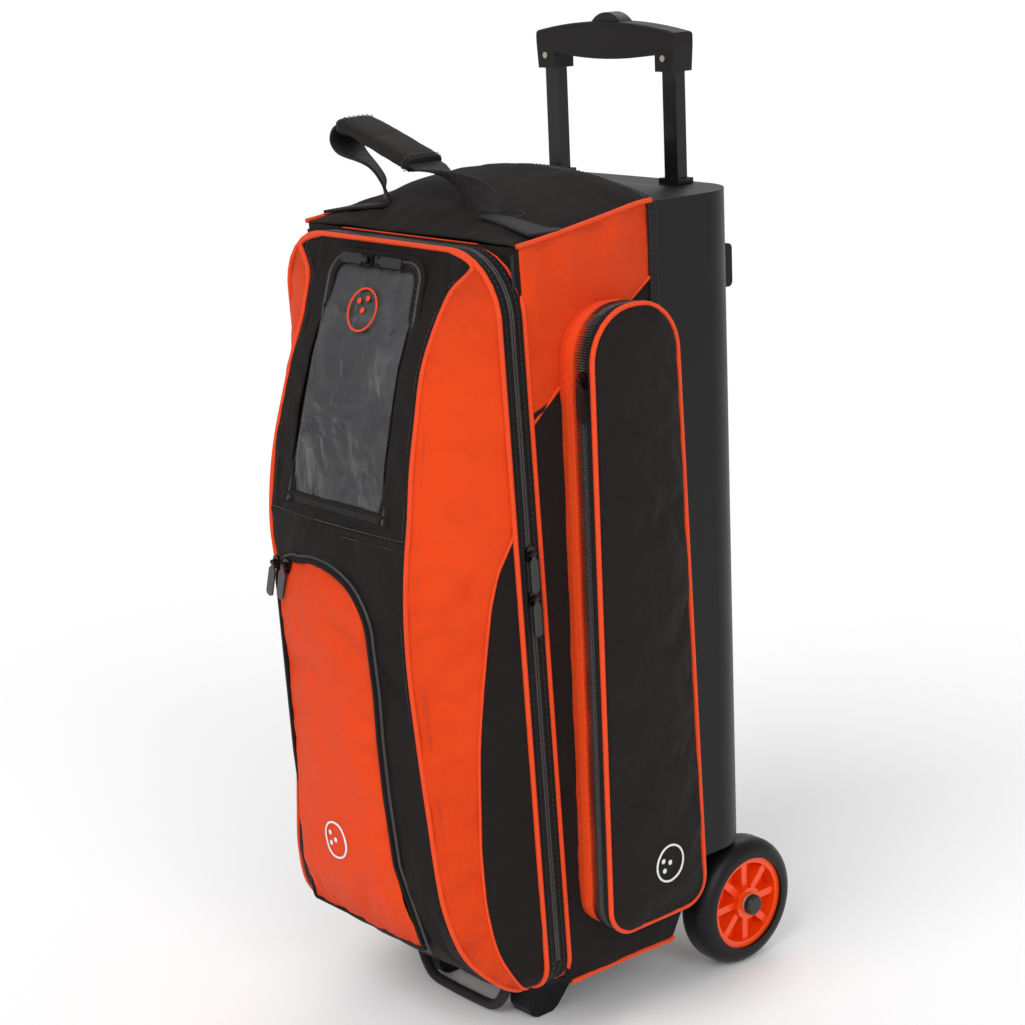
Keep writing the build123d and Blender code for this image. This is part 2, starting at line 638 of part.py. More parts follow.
# --- side pockets ---
def pocket_outline(inset):
    """Side-view face of the pocket: straight front, leaning rear edge, rounded top."""
    low = POCKET_FOOT + inset
    high = POCKET_TOP - inset
    face = make_face(Polyline((0, POCKET_FRONT + inset, low), (0, POCKET_REAR_FOOT - inset, low),
                              (0, POCKET_REAR_TOP - inset, high), (0, POCKET_FRONT + inset, high),
                              close=True))
    top = face.vertices().group_by(Axis.Z)[-1]
    face = fillet(top, POCKET_TOP_CORNER - inset)
    foot = face.vertices().group_by(Axis.Z)[0]
    return fillet(foot, POCKET_FOOT_CORNER - inset)


def pocket_prism(inset, near, far):
    return extrude(Pos(HALF + near, 0, 0) * pocket_outline(inset), amount=far - near, dir=(1, 0, 0))


def pocket_gusset():
    return pocket_prism(0, 0, POCKET_SPLIT) - pocket_prism(FABRIC, -1, POCKET_SPLIT + 1)


def pocket_lid():
    lid = pocket_prism(0, POCKET_SPLIT + GAP, POCKET_DEPTH)
    return lid - pocket_prism(FABRIC, POCKET_SPLIT - 1, POCKET_DEPTH - FABRIC)


# --- zipper sliders and pull tabs ---
SLIDER_WIDE = 9.0
SLIDER_LONG = 13.0
SLIDER_BASE = 2.2
BAR_HEIGHT = 4.8
BAR_RADIUS = 0.8
TAB_LONG = 30.0
TAB_WIDE = 9.0
TAB_THICK = 1.6


def zip_slider():
    """Slider lying on Z = 0, travelling along Y, its bar along X over the middle."""
    base = Pos(0, 0, SLIDER_BASE / 2) * Box(SLIDER_WIDE, SLIDER_LONG, SLIDER_BASE)
    base = chamfer(base.edges().filter_by(Axis.Z).group_by(Axis.Y)[-1], 2.4)
    post = Pos(3.2, 0, 3.6) * Box(1.2, 2.4, 4)
    bar = rod(BAR_RADIUS, (0, 0, BAR_HEIGHT), 7, "X")
    return base + post + Pos(-6.4, 0, 0) * post + bar


def pull_tab():
    """Tab hanging along -Y from an eye round the slider's bar."""
    eye = rod(2.1, (0, 0, BAR_HEIGHT), 4, "X")
    neck = Pos(0, -3.5, BAR_HEIGHT) * Box(4, 5, TAB_THICK)
    leaf = Pos(0, -4.4 - TAB_LONG / 2, BAR_HEIGHT) * Box(TAB_WIDE, TAB_LONG, TAB_THICK)
    leaf = fillet(leaf.edges().filter_by(Axis.Z), 3.5)
    return eye + neck + leaf - rod(BAR_RADIUS + GAP, (0, 0, BAR_HEIGHT), 9, "X")


def slider_plane(origin, normal, hang):
    """Local frame on a surface: local Z along `normal`, the tab hanging along `hang`."""
    n = Vector(*normal).normalized()
    up = Vector(*hang) * -1
    across = up.cross(n).normalized()
    return Plane(origin=origin, x_dir=across, z_dir=n)


SEAM_DOWN = (0, SEAM_LEAN, -1)
UPPER_SLIDER_Z = 480.0
LOWER_SLIDER_Z = 440.0
POCKET_SLIDER_DROP = 58.0
PROUD = 0.3


def slope_normal(z):
    """Outward normal of the door's middle panel at height z."""
    rise = front_y(z + 4) - front_y(z - 4)
    return (0, -8, rise)


def slider_places():
    """Every slider's plane, by name."""
    side = HALF + SLIM + PROUD
    window_z = WINDOW_TOP - 6
    window_y = front_y(window_z) - WINDOW_PROUD - PROUD
    flap_z = FLAP_TOP - 12
    flap_y = front_y(flap_z) - FLAP_PROUD - PROUD
    pocket_x = HALF + POCKET_SPLIT
    pocket_y = POCKET_FRONT - PROUD
    places = {
        "main_upper": slider_plane((side, seam_y(UPPER_SLIDER_Z), UPPER_SLIDER_Z),
                                   (1, 0, 0), SEAM_DOWN),
        "main_lower": slider_plane((side, seam_y(LOWER_SLIDER_Z), LOWER_SLIDER_Z),
                                   (1, 0, 0), SEAM_DOWN),
        "window_left": slider_plane((-8, window_y, window_z), slope_normal(window_z), (-1, 0, 0)),
        "window_right": slider_plane((8, window_y, window_z), slope_normal(window_z), (1, 0, 0)),
        "pocket_left": slider_plane((-74, flap_y, flap_z), slope_normal(flap_z), (-0.35, 0, -1)),
        "pocket_right": slider_plane((-58, flap_y, flap_z), slope_normal(flap_z), (-0.35, 0, -1)),
        "side_right": slider_plane((pocket_x, pocket_y, (POCKET_TOP - POCKET_SLIDER_DROP)), (0, -1, 0), (0, 0, -1)),
        "side_left": slider_plane((-pocket_x, pocket_y, (POCKET_TOP - POCKET_SLIDER_DROP)), (0, -1, 0), (0, 0, -1)),
    }
    return places


# --- carry handle and grab handle ---
def ribbon(points, radii, thick, y_low, y_high):
    """Flat strap seen edge-on in front view: a rounded route given a thickness."""
    route = FilletPolyline(*[(x, z) for x, z in points], radius=radii)
    band = Plane.XZ * trace(route, thick)
    return Pos(0, y_high, 0) * extrude(band, amount=y_high - y_low)


# front-view route of the carry handle, above its pivots, for anchors 84 mm off the middle
HANDLE_ROUTE = [(-84.0, 0.0), (-86.0, 22.0), (-140.0, 42.0), (-128.0, 72.0), (-20.0, 34.0),
                (70.0, 24.0), (84.0, 0.0)]
SLEEVE_START = 0.16
SLEEVE_END = 0.94


def handle_pivot_z():
    """Height of the carry handle's pivots, just above the domed top."""
    share = 1 - (HANDLE_ANCHOR_X / HALF) ** 2
    rise = TOP_CROWNS[0][1] * share + FABRIC + HANDLE_NECK / 2
    return side_top(HANDLE_Y + HANDLE_NECK / 2) + rise + 2


def handle_route():
    lift = handle_pivot_z()
    return [(x * HANDLE_ANCHOR_X / 84, z + lift) for x, z in HANDLE_ROUTE]


def carry_handle():
    """Webbing loop, narrow and round where each end turns on the bag's top."""
    low = HANDLE_Y - STRAP_WIDE / 2
    pivot = handle_pivot_z()
    strap = ribbon(handle_route(), [5, 8, 12, 12, 12], STRAP_THICK, low, low + STRAP_WIDE)
    neck = HANDLE_NECK / 2
    for near, far in ((low - 1, HANDLE_Y - neck), (HANDLE_Y + neck, low + STRAP_WIDE + 1)):
        strap = strap - block((-HALF, HALF), (near, far), (pivot - 40, pivot + 19))
    end = rod(neck, (HANDLE_ANCHOR_X, HANDLE_Y, pivot), STRAP_THICK, "X")
    return strap + end + mirrored(end)


def carry_sleeve():
    """Padded wrap round the middle of the strap."""
    (xa, za), (xb, zb) = handle_route()[3:5]
    low = HANDLE_Y - STRAP_WIDE / 2

    def along(share):
        return (xa + (xb - xa) * share, za + (zb - za) * share)

    wrap = Plane.XZ * trace(Line(along(SLEEVE_START), along(SLEEVE_END)), SLEEVE_THICK)
    wrap = Pos(0, low + STRAP_WIDE + 3, 0) * extrude(wrap, amount=STRAP_WIDE + 6)
    core = Plane.XZ * trace(Line(along(0), along(1)), STRAP_THICK)
    return wrap - Pos(0, low + STRAP_WIDE, 0) * extrude(core, amount=STRAP_WIDE)


GRAB_Y = SEAM_FOOT + 7
GRAB_TOP = BASE_HEIGHT - GRAB_RADIUS - 3


def grab_handle():
    """Tubular webbing loop under the front edge."""
    lines = FilletPolyline((-GRAB_HALF, GRAB_Y, GRAB_TOP), (-GRAB_HALF + 30, GRAB_Y, GRAB_LOW),
                           (GRAB_HALF - 30, GRAB_Y, GRAB_LOW), (GRAB_HALF, GRAB_Y, GRAB_TOP),
                           radius=24)
    section = Plane(origin=lines @ 0, z_dir=lines % 0) * Circle(GRAB_RADIUS)
    return sweep(section, path=lines)


# --- every node ---
def build():
    nodes = {
        "back_shell": back_shell(),
        "side_wall_right": side_wall(),
        "side_wall_left": mirrored(side_wall()),
        "top_panel": top_panel(),
        "base_tray": base_tray(),
        "zipper_half_body": zipper_tape(GAP, GUSSET_HALF) + zipper_chain(GAP, FABRIC),
        "ball_shelves": ball_shelf(1) + ball_shelf(2),
        "ball_rings": ball_ring(0) + ball_ring(1) + ball_ring(2),
        "rear_liner": rear_liner(),
        "outer_tubes": outer_tubes(),
        "rear_bumpers": rear_bumpers(),
        "front_feet": front_feet(),
        "axle_block": axle_block(),
        "axle": axle(),
        "axle_caps": axle_caps(),
        "pocket_gusset_right": pocket_gusset(),
        "pocket_gusset_left": mirrored(pocket_gusset()),
        "pocket_lid_right": pocket_lid(),
        "pocket_lid_left": mirrored(pocket_lid()),
        "tyre_right": tyre(),
        "tyre_left": mirrored(tyre()),
        "hub_right": hub(),
        "hub_left": mirrored(hub()),
        "wheel_bush_right": wheel_bush(),
        "wheel_bush_left": mirrored(wheel_bush()),
        "inner_tubes": inner_tube() + mirrored(inner_tube()),
        "grip_lower": grip_lower(),
        "grip_upper": grip_upper(),
        "grip_rivets": grip_rivets(),
        "push_button": push_button(),
        "release_bar": release_bar(),
        "catch_pin_right": catch_pin(),
        "catch_pin_left": mirrored(catch_pin()),
        "door_shell": door_shell(),
        "zipper_half_door": zipper_tape(-GUSSET_HALF, -GAP) + zipper_chain(-FABRIC, -GAP),
        "shoe_net": shoe_net(),
        "window_tray": window_tray(),
        "window_frame": window_frame(),
        "window_pane": window_pane(),
        "pocket_flap": pocket_flap(),
        "carry_handle": carry_handle(),
        "carry_sleeve": carry_sleeve(),
        "grab_handle": grab_handle(),
    }
    return nodes


def hardware():
    sliders = {}
    for name, plane in slider_places().items():
        sliders["slider_" + name] = plane.location * zip_slider()
        sliders["tab_" + name] = plane.location * pull_tab()
    return sliders


NODES = build()
FRONT_MOST = NODES["pocket_flap"].bounding_box().min.Y
REAR_MOST = AXLE_Y + WHEEL_RADIUS
SHIFT_Y = -(FRONT_MOST + REAR_MOST) / 2

if __name__ == "__main__":
    os.makedirs("parts", exist_ok=True)
    NODES.update(hardware())
    for name, shape in NODES.items():
        export_step(Pos(0, SHIFT_Y, 0) * shape, "parts/" + name + ".step")
    print(len(NODES), "nodes; Y shift", round(SHIFT_Y, 3))
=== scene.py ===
"""Looks of a three-ball rolling bowling bag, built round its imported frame.

Lengths in the making functions are millimetres, X across, Y from the foot of the bag's
front edge towards the wheels, Z up from the ground. at() turns them into the frame.
"""

import math

import bmesh
import bpy
from mathutils import Matrix, Quaternion, Vector, noise
from mathutils.bvhtree import BVHTree


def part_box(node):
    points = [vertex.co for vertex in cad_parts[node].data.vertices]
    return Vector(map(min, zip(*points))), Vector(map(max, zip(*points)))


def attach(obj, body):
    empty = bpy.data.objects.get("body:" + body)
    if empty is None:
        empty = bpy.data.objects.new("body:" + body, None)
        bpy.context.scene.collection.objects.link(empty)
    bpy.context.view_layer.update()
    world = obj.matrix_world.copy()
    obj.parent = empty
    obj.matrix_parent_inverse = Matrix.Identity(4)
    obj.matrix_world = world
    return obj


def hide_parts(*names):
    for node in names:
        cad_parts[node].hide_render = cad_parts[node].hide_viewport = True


bl_info = {
    "name": "Rolling Bowling Bag",
    "version": (1, 0, 0),
    "blender": (4, 5, 0),
    "location": "View3D > Sidebar > Bag",
    "description": "Sews the soft parts of a wheeled bowling bag round its frame",
    "category": "Object",
}

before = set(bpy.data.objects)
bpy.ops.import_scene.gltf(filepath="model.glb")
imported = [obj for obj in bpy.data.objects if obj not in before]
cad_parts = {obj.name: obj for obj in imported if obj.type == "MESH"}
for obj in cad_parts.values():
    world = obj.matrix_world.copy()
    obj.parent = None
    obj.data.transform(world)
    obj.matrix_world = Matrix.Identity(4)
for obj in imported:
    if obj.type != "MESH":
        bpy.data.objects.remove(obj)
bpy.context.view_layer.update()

# --- sizes shared with the frame, in millimetres ---
MM = 0.001
HALF = 147.0
BASE = 66.0
DOOR_TOP = 738.0
SHELL_TOP = 762.0
SHELL_FRONT = 145.0
ARCH_REAR = 187.0
GUSSET = 13.0
CORNER = 28.0
TOP_CORNER = 55.0
MIDDLE = BASE + HALF
TOP_EDGE = SHELL_TOP - 21
SHOULDER_HOLLOW = 2.5
BADGE_LIFT = 0.9
RAY_START = 50.0
LINING_GAP = 5.2
REAR_MOST = 320.5
SHIFT_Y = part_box("tyre_right")[1].y / MM - REAR_MOST

# height, depth ahead of the zipper plane and half width of the door's middle panel
DOOR_LINE = [(738, 13.5, 92), (733, 14.5, 112), (727, 15.8, 121), (720, 18, 116),
             (711, 22, 106), (700, 27, 99), (672, 40, 93), (640, 55, 92),
             (600, 68, 95), (560, 80, 98), (520, 88, 100), (480, 94, 98), (440, 95, 93),
             (400, 94, 89), (358, 92, 87), (316, 92, 90), (278, 92, 93), (240, 93, 98),
             (200, 94, 103), (160, 93, 109), (118, 83, 117), (88, 60, 123), (70, 36, 126),
             (66, 13.5, 127)]
# height and share of the flank, from the zipper to the middle panel, of its dividing seam
FLANK_SEAM = [(520, -0.05), (500, 0.0), (470, 0.17), (440, 0.26), (395, 0.33), (350, 0.4),
              (305, 0.47), (215, 0.56), (130, 0.6), (66, 0.62)]
# Y and fall of the top side edge below the shell's top
SIDE_TOP = [(-7, 21), (40, 15), (86, 8), (129, 1), (145, 0)]
# Y and rise of the fabric dome in the middle
DOME = [(-8, 0), (-2, 3), (10, 6), (40, 12), (86, 20), (129, 22), (145, 21)]
# front view of the lower pocket's flap
FLAP_FOOT = 108.0
SIDE_SEAM = [(-2, 589), (46, 629), (90, 662), (146, 700)]


def at(x, y, z):
    """Frame position, in metres, of a point in drawing millimetres."""
    return Vector((x, y + SHIFT_Y, z)) * MM


def between(table, key):
    """Value at key in a table of (key, value) rows, straight between rows."""
    rows = sorted(table)
    if key <= rows[0][0]:
        return rows[0][1]
    for (a, va), (b, vb) in zip(rows, rows[1:]):
        if key <= b:
            return va + (vb - va) * (key - a) / (b - a)
    return rows[-1][1]


def seam_y(z):
    """Y of the leaning zipper plane at height z."""
    return 4.0 - (z - BASE) * 0.036


def front_y(z):
    """Y of the door's middle panel at height z."""
    return seam_y(z) - between([(row[0], row[1]) for row in DOOR_LINE], z)


def mix(a, b, share):
    """Value a share of the way from a to b."""
    return a + (b - a) * share


def hermite(points, share, closed=False):
    """Point on a smooth line through points, share running from 0 to 1."""
    count = len(points) if closed else len(points) - 1
    place = min(max(share, 0.0), 1.0) * count
    index = min(int(place), count - 1)
    t = place - index

    def pick(k):
        return points[k % len(points)] if closed else points[min(max(k, 0), len(points) - 1)]

    a, b, c, d = pick(index - 1), pick(index), pick(index + 1), pick(index + 2)
    return (b * 2 + (c - a) * t + (a * 2 - b * 5 + c * 4 - d) * t * t
            + (b * 3 - a - c * 3 + d) * t * t * t) * 0.5


def rounded(corners, radii):
    """Closed flat outline with an arc at each corner, as (u, v) points."""
    line = []
    total = len(corners)
    for k in range(total):
        before = Vector(corners[k - 1])
        here = Vector(corners[k])
        after = Vector(corners[(k + 1) % total])
        a = (before - here).normalized()
        b = (after - here).normalized()
        turn = a.angle(b)
        reach = radii[k] / math.tan(turn / 2)
        centre = here + (a + b).normalized() * (radii[k] / math.sin(turn / 2))
        start = here + a * reach - centre
        end = here + b * reach - centre
        steps = 8
        for j in range(steps + 1):
            way = start.lerp(end, j / steps).normalized() * radii[k]
            line.append(centre + way)
    return line


def span(outline, level):
    """Lowest and highest u of a closed outline where its v is level."""
    found = []
    for a, b in zip(outline, outline[1:] + outline[:1]):
        if (a.y - level) * (b.y - level) <= 0 and abs(a.y - b.y) > 1e-9:
            found.append(mix(a.x, b.x, (level - a.y) / (b.y - a.y)))
    return (min(found), max(found)) if found else (0.0, 0.0)


class Route:
    """Evenly spaced points along a line, each with its run, outward and side directions."""

    def __init__(self, points, outward, step=4.0, closed=False, smooth=True):
        points = [Vector(p) for p in points]
        if smooth:
            fine = max(8, len(points) * 8)
            line = [hermite(points, k / fine, closed) for k in range(fine + (not closed))]
        else:
            line = points
        ring = line + [line[0]] if closed else line
        runs = [(b - a).length for a, b in zip(ring, ring[1:])]
        self.length = sum(runs)
        self.closed = closed
        self.count = max(6, round(self.length / step))
        self.places = []
        index, passed = 0, 0.0
        for k in range(self.count + (not closed)):
            goal = self.length * k / self.count
            while index < len(runs) - 1 and passed + runs[index] < goal:
                passed += runs[index]
                index += 1
            share = (goal - passed) / max(runs[index], 1e-9)
            self.places.append(ring[index].lerp(ring[index + 1], min(share, 1.0)))
        total = len(self.places)
        self.frames = []
        for k, place in enumerate(self.places):
            if closed:
                run = self.places[(k + 1) % total] - self.places[k - 1]
            else:
                run = self.places[min(k + 1, total - 1)] - self.places[max(k - 1, 0)]
            run.normalize()
            out = outward(place) if callable(outward) else Vector(outward)
            out = (out - run * out.dot(run)).normalized()
            self.frames.append((run, out, run.cross(out)))

    def put(self, index, side, out, turn=0.0):
        """Drawing point at a place on the line, moved sideways and outwards."""
        k = index % len(self.places) if self.closed else min(index, len(self.places) - 1)
        run, outward, across = self.frames[k]
        if turn:
            spin = Quaternion(run, turn)
            outward, across = spin @ outward, spin @ across
        return self.places[k] + across * side + outward * out


def circle(radius, sides=10, side=0.0, out=0.0):
    """Round section as (side, out) points."""
    return [(side + radius * math.cos(math.tau * k / sides),
             out + radius * math.sin(math.tau * k / sides)) for k in range(sides)]


def slab(low, high, bottom, top, round_off=0.8):
    """Flat section with eased edges, from low to high sideways and bottom to top outwards."""
    r = min(round_off, (top - bottom) / 2.01, (high - low) / 2.01)
    middle = (low + high) / 2
    return [(low, bottom + r), (low + r, bottom), (middle, bottom), (high - r, bottom),
            (high, bottom + r), (high, top - r), (high - r, top), (mix(high, low, 0.25), top),
            (middle, top), (mix(low, high, 0.25), top), (low + r, top), (low, top - r)]


def grid(across, along, place, size=(1.0, 1.0), wrap=False, loop=False):
    """Sheet of quads with its cloth measured in metres, each corner put by place(u, w)."""
    bm = bmesh.new()
    cloth = bm.loops.layers.uv.new("cloth")
    bmesh.ops.create_grid(bm, x_segments=across, y_segments=along, size=0.5)
    for face in bm.faces:
        for corner in face.loops:
            flat = corner.vert.co
            corner[cloth].uv = ((flat.x + 0.5) * size[0], (flat.y + 0.5) * size[1])
    for vert in bm.verts:
        vert.co = at(*place(vert.co.x + 0.5, vert.co.y + 0.5))
    if wrap or loop:
        bmesh.ops.remove_doubles(bm, verts=bm.verts, dist=1e-6)
    return bm


def faced(bm, outward):
    """Turns an open sheet so that its faces point along outward, as a whole."""
    outward = Vector(outward)
    bm.normal_update()
    if sum(f.normal.dot(outward) * f.calc_area() for f in bm.faces) < 0:
        bmesh.ops.reverse_faces(bm, faces=bm.faces)
    return bm


def closed_up(bm):
    """Closes open ends and points every face outwards."""
    edges = [e for e in bm.edges if e.is_boundary]
    if edges:
        bmesh.ops.holes_fill(bm, edges=edges, sides=0)
    bmesh.ops.recalc_face_normals(bm, faces=bm.faces)
    return bm


def swept(route, section, shape=None, turn=None):
    """Section carried along a route. shape(index, share) gives (scale, outward move)."""
    sides = len(section)
    girth = sum((Vector(a) - Vector(b)).length for a, b in zip(section, section[1:] + section[:1]))

    def place(u, w):
        side, out = section[round(u * sides) % sides]
        index = round(w * route.count)
        share = index / route.count
        scale, lift = shape(index, share) if shape else (1.0, 0.0)
        angle = turn(share) if turn else 0.0
        return route.put(index, side * scale, out * scale + lift, angle)

    bm = grid(sides, route.count, place, (girth * MM, route.length * MM), wrap=True)
    return closed_up(bm)


def ribs(pitch=3, low=0.68):
    """Ribbed shape for coils: one narrow ring in each pitch."""
    return lambda index, share: (low if index % pitch == 0 else 1.0, 0.0)


def stitched(route, side, out, radius=0.42):
    """Thread that runs over and under the cloth beside a seam."""
    section = circle(radius, 5, side, 0.0)

    def shape(index, share):
        return 1.0, out if index % 4 in (1, 2) else out - 1.2

    sides = len(section)

    def place(u, w):
        across, up = section[round(u * sides) % sides]
        index = round(w * route.count)
        return route.put(index, across, up + shape(index, 0.0)[1])

    return closed_up(grid(sides, route.count, place, (0.003, route.length * MM), wrap=True))


def joined(*parts):
    """One bmesh from several."""
    whole = parts[0]
    for part in parts[1:]:
        mesh = bpy.data.meshes.new("part")
        part.to_mesh(mesh)
        part.free()
        whole.from_mesh(mesh)
        bpy.data.meshes.remove(mesh)
    return whole


def flipped(bm):
    """The same part on the bag's other side."""
    bmesh.ops.scale(bm, vec=(-1, 1, 1), verts=bm.verts)
    bmesh.ops.reverse_faces(bm, faces=bm.faces)
    return bm


def rumpled(bm, amount, size, seed=0.0, stretch=(1.0, 1.0, 1.0)):
    """Moves a sheet in and out along its normals in soft folds."""
    bm.normal_update()
    moves = []
    for vert in bm.verts:
        place = Vector((vert.co.x * stretch[0], vert.co.y * stretch[1], vert.co.z * stretch[2]))
        fold = noise.fractal((place / (size * MM)) + Vector((seed, seed * 1.7, 0)), 0.9, 2.1, 3)
        moves.append(vert.normal * (fold * amount * MM))
    for vert, move in zip(bm.verts, moves):
        vert.co += move
    return bm


def sewn(name, bm, finish, body, replaces=(), thick=0.0, rounds=0, smooth=True):
    """Makes the piece, gives it its finish and lets it ride on its body."""
    mesh = bpy.data.meshes.new(name)
    bm.to_mesh(mesh)
    bm.free()
    piece = bpy.data.objects.new(name, mesh)
    bpy.context.scene.collection.objects.link(piece)
    mesh.materials.append(finish)
    if smooth:
        mesh.shade_smooth()
    if thick:
        wall = piece.modifiers.new("wall", "SOLIDIFY")
        wall.thickness = thick * MM
        wall.offset = -1
    if rounds:
        soft = piece.modifiers.new("soft", "SUBSURF")
        soft.levels = soft.render_levels = rounds
    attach(piece, body)
    if replaces:
        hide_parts(*replaces)
    return piece


def settled(pieces, pressure=3.0, grow=0.02, cap=5.0, frames=20):
    """Lets sheets held at their borders fill and buckle, then keeps the shape.

    No point moves more than cap millimetres.
    """
    rests = {}
    for piece in pieces:
        mesh = piece.data
        held = piece.vertex_groups.new(name="held")
        rests[piece.name] = [v.co.copy() for v in mesh.vertices]
        bm = bmesh.new()
        bm.from_mesh(mesh)
        for vert in bm.verts:
            if vert.is_boundary:
                held.add([vert.index], 1.0, "REPLACE")
        bm.free()
        cloth = piece.modifiers.new("fill", "CLOTH")
        piece.modifiers.move(len(piece.modifiers) - 1, 0)
        settings = cloth.settings
        settings.quality = 4
        settings.mass = 0.25
        settings.tension_stiffness = 20
        settings.compression_stiffness = 20
        settings.shear_stiffness = 8
        settings.bending_stiffness = 0.6
        settings.vertex_group_mass = "held"
        settings.use_pressure = True
        settings.uniform_pressure_force = pressure
        settings.shrink_min = -grow
        settings.effector_weights.gravity = 0.0
        cloth.collision_settings.use_collision = False
        cloth.point_cache.frame_start = 1
        cloth.point_cache.frame_end = frames
        for other in piece.modifiers:
            if other != cloth:
                other.show_viewport = False
    for step in range(1, frames + 1):
        bpy.context.scene.frame_set(step)
    dg = bpy.context.evaluated_depsgraph_get()
    for piece in pieces:
        moved = [v.co.copy() for v in piece.evaluated_get(dg).data.vertices]
        piece.modifiers.remove(piece.modifiers["fill"])
        for other in piece.modifiers:
            other.show_viewport = True
        for vert, rest, new in zip(piece.data.vertices, rests[piece.name], moved):
            move = new - rest
            if move.length > cap * MM:
                move = move.normalized() * cap * MM
            vert.co = rest + move
        piece.data.update()
        piece.vertex_groups.clear()
    bpy.context.scene.frame_set(1)


# --- finishes ---
class Value:
    """A shader socket that can be used in sums."""

    def __init__(self, board, socket):
        self.board = board
        self.socket = socket

    def maths(self, operation, *others):
        """Adds a Math node for the operation."""
        node = self.board.tree.nodes.new("ShaderNodeMath")
        node.operation = operation
        for socket, given in zip(node.inputs, others):
            self.board.feed(socket, given)
        return Value(self.board, node.outputs[0])

    def __add__(self, other):
        return self.maths("ADD", self, other)

    __radd__ = __add__

    def __sub__(self, other):
        return self.maths("SUBTRACT", self, other)

    def __rsub__(self, other):
        return self.maths("SUBTRACT", other, self)

    def __mul__(self, other):
        return self.maths("MULTIPLY", self, other)

    __rmul__ = __mul__

    def wave(self):
        """Sine of the value."""
        return self.maths("SINE", self)

    def size(self):
        """The value without its sign."""
        return self.maths("ABSOLUTE", self)

    def power(self, other):
        """The value raised to a power."""
        return self.maths("POWER", self, other)

    def over(self, other):
        """One where the value is greater, otherwise zero."""
        return self.maths("GREATER_THAN", self, other)

    def high(self, other):
        """The greater of two values."""
        return self.maths("MAXIMUM", self, other)


class Board:
    """The node tree of one finish."""

    def __init__(self, name):
        self.material = bpy.data.materials.new(name)
        self.material.use_nodes = True
        self.tree = self.material.node_tree
        self.tree.nodes.clear()

    def feed(self, socket, given):
        """Links or sets a socket."""
        if isinstance(given, Value):
            self.tree.links.new(given.socket, socket)
        elif isinstance(given, (tuple, list)) and len(given) == 3 and socket.type == "RGBA":
            socket.default_value = (*given, 1.0)
        else:
            socket.default_value = given

    def node(self, kind, settings=None, sockets=None, out=0):
        """A node of a kind, its settings made first, then its sockets; gives one output."""
        node = self.tree.nodes.new(kind)
        for key, value in (settings or {}).items():
            setattr(node, key, value)
        for key, value in (sockets or {}).items():
            self.feed(node.inputs[key], value)
        return Value(self, node.outputs[out])

    def cloth(self):
        """Cloth coordinates, in metres along and across the piece, as (u, v) values."""
        flat = self.node("ShaderNodeUVMap", {"uv_map": "cloth"})
        parts = self.tree.nodes.new("ShaderNodeSeparateXYZ")
        self.feed(parts.inputs[0], flat)
        return flat, Value(self, parts.outputs[0]), Value(self, parts.outputs[1])

    def place(self):
        """Coordinates on the piece."""
        return self.node("ShaderNodeTexCoord", None, None, "Object")

    def cloud(self, at_place, scale, detail=3.0, rough=0.55, warp=0.0):
        """Soft noise from 0 to 1."""
        return self.node("ShaderNodeTexNoise", None, {"Vector": at_place, "Scale": scale,
                         "Detail": detail, "Roughness": rough, "Distortion": warp})

    def tint(self, share, low, high):
        """Colour between two colours."""
        return self.node("ShaderNodeMix", {"data_type": "RGBA"},
                         {0: share, 6: low, 7: high}, 2)

    def bump(self, height, depth, strength=1.0, under=None):
        """Raised relief, over another one where given."""
        sockets = {"Height": height, "Distance": depth * MM, "Strength": strength}
        if under is not None:
            sockets["Normal"] = under
        return self.node("ShaderNodeBump", None, sockets)

    def finish(self, sockets, surface=None):
        """Ends the material with its surface."""
        shader = surface or self.node("ShaderNodeBsdfPrincipled", None, sockets)
        output = self.tree.nodes.new("ShaderNodeOutputMaterial")
        self.feed(output.inputs["Surface"], shader)
        return self.material


def shade(colour, factor):
    """Colour made darker or lighter by a factor."""
    return tuple(min(1.0, c * factor) for c in colour)


def honeycomb_cloth(name, colour):
    """Ripstop with a fine raised diamond grid."""
    board = Board(name)
    _, u, v = board.cloth()
    turn = math.tau / 0.0046
    one = ((u + v) * turn).wave().size()
    two = ((u - v) * turn).wave().size()
    cell = 1 - (1 - one).power(5.0).high((1 - two).power(5.0))
    thread = ((u * (math.tau / 0.0011)).wave() * (v * (math.tau / 0.0011)).wave()).size()
    place = board.place()
    soft = board.cloud(place, 34.0, 4.0, 0.6, 0.8)
    wide = board.cloud(place, 7.0, 2.0)
    # soft is the same noise as the fold bump below, so the hollows of the folds are painted
    # darker: painted crease shade.
    share = wide * 0.2 + cell * 0.5 + thread * 0.1 + soft * 0.25
    base = board.tint(share, shade(colour, 0.5), shade(colour, 1.1))
    folds = board.bump(soft, 4.0, 0.8)
    weave = board.bump(cell + thread * 0.3, 0.7, 0.8, folds)
    return board.finish({"Base Color": base, "Roughness": 0.52 + soft * 0.2, "Normal": weave,
                         "Sheen Weight": 0.02, "Sheen Roughness": 0.5,
                         "Specular IOR Level": 0.18})


def plain_cloth(name, colour, thread_size=1.15, folds=2.0, rough=0.72):
    """Dark polyester in a visible plain weave."""
    board = Board(name)
    _, u, v = board.cloth()
    turn = math.pi / (thread_size * MM)
    weave = (u * turn).wave() * (v * turn).wave()
    place = board.place()
    soft = board.cloud(place, 26.0, 4.0, 0.6, 0.6)
    lint = board.cloud(place, 420.0, 2.0, 0.7)
    # soft is the same noise as the crease bump below, so the hollows of the creases are painted
    # darker: painted crease shade.
    share = weave * 0.28 + soft * 0.4 + lint * 0.45
    base = board.tint(share, shade(colour, 0.55), shade(colour, 1.75))
    creases = board.bump(soft, folds * 2.0, 0.8)
    threads = board.bump(weave + lint * 0.5, 0.22, 0.8, creases)
    return board.finish({"Base Color": base, "Roughness": rough + lint * 0.12,
                         "Normal": threads, "Sheen Weight": 0.02, "Sheen Roughness": 0.45,
                         "Specular IOR Level": 0.14})


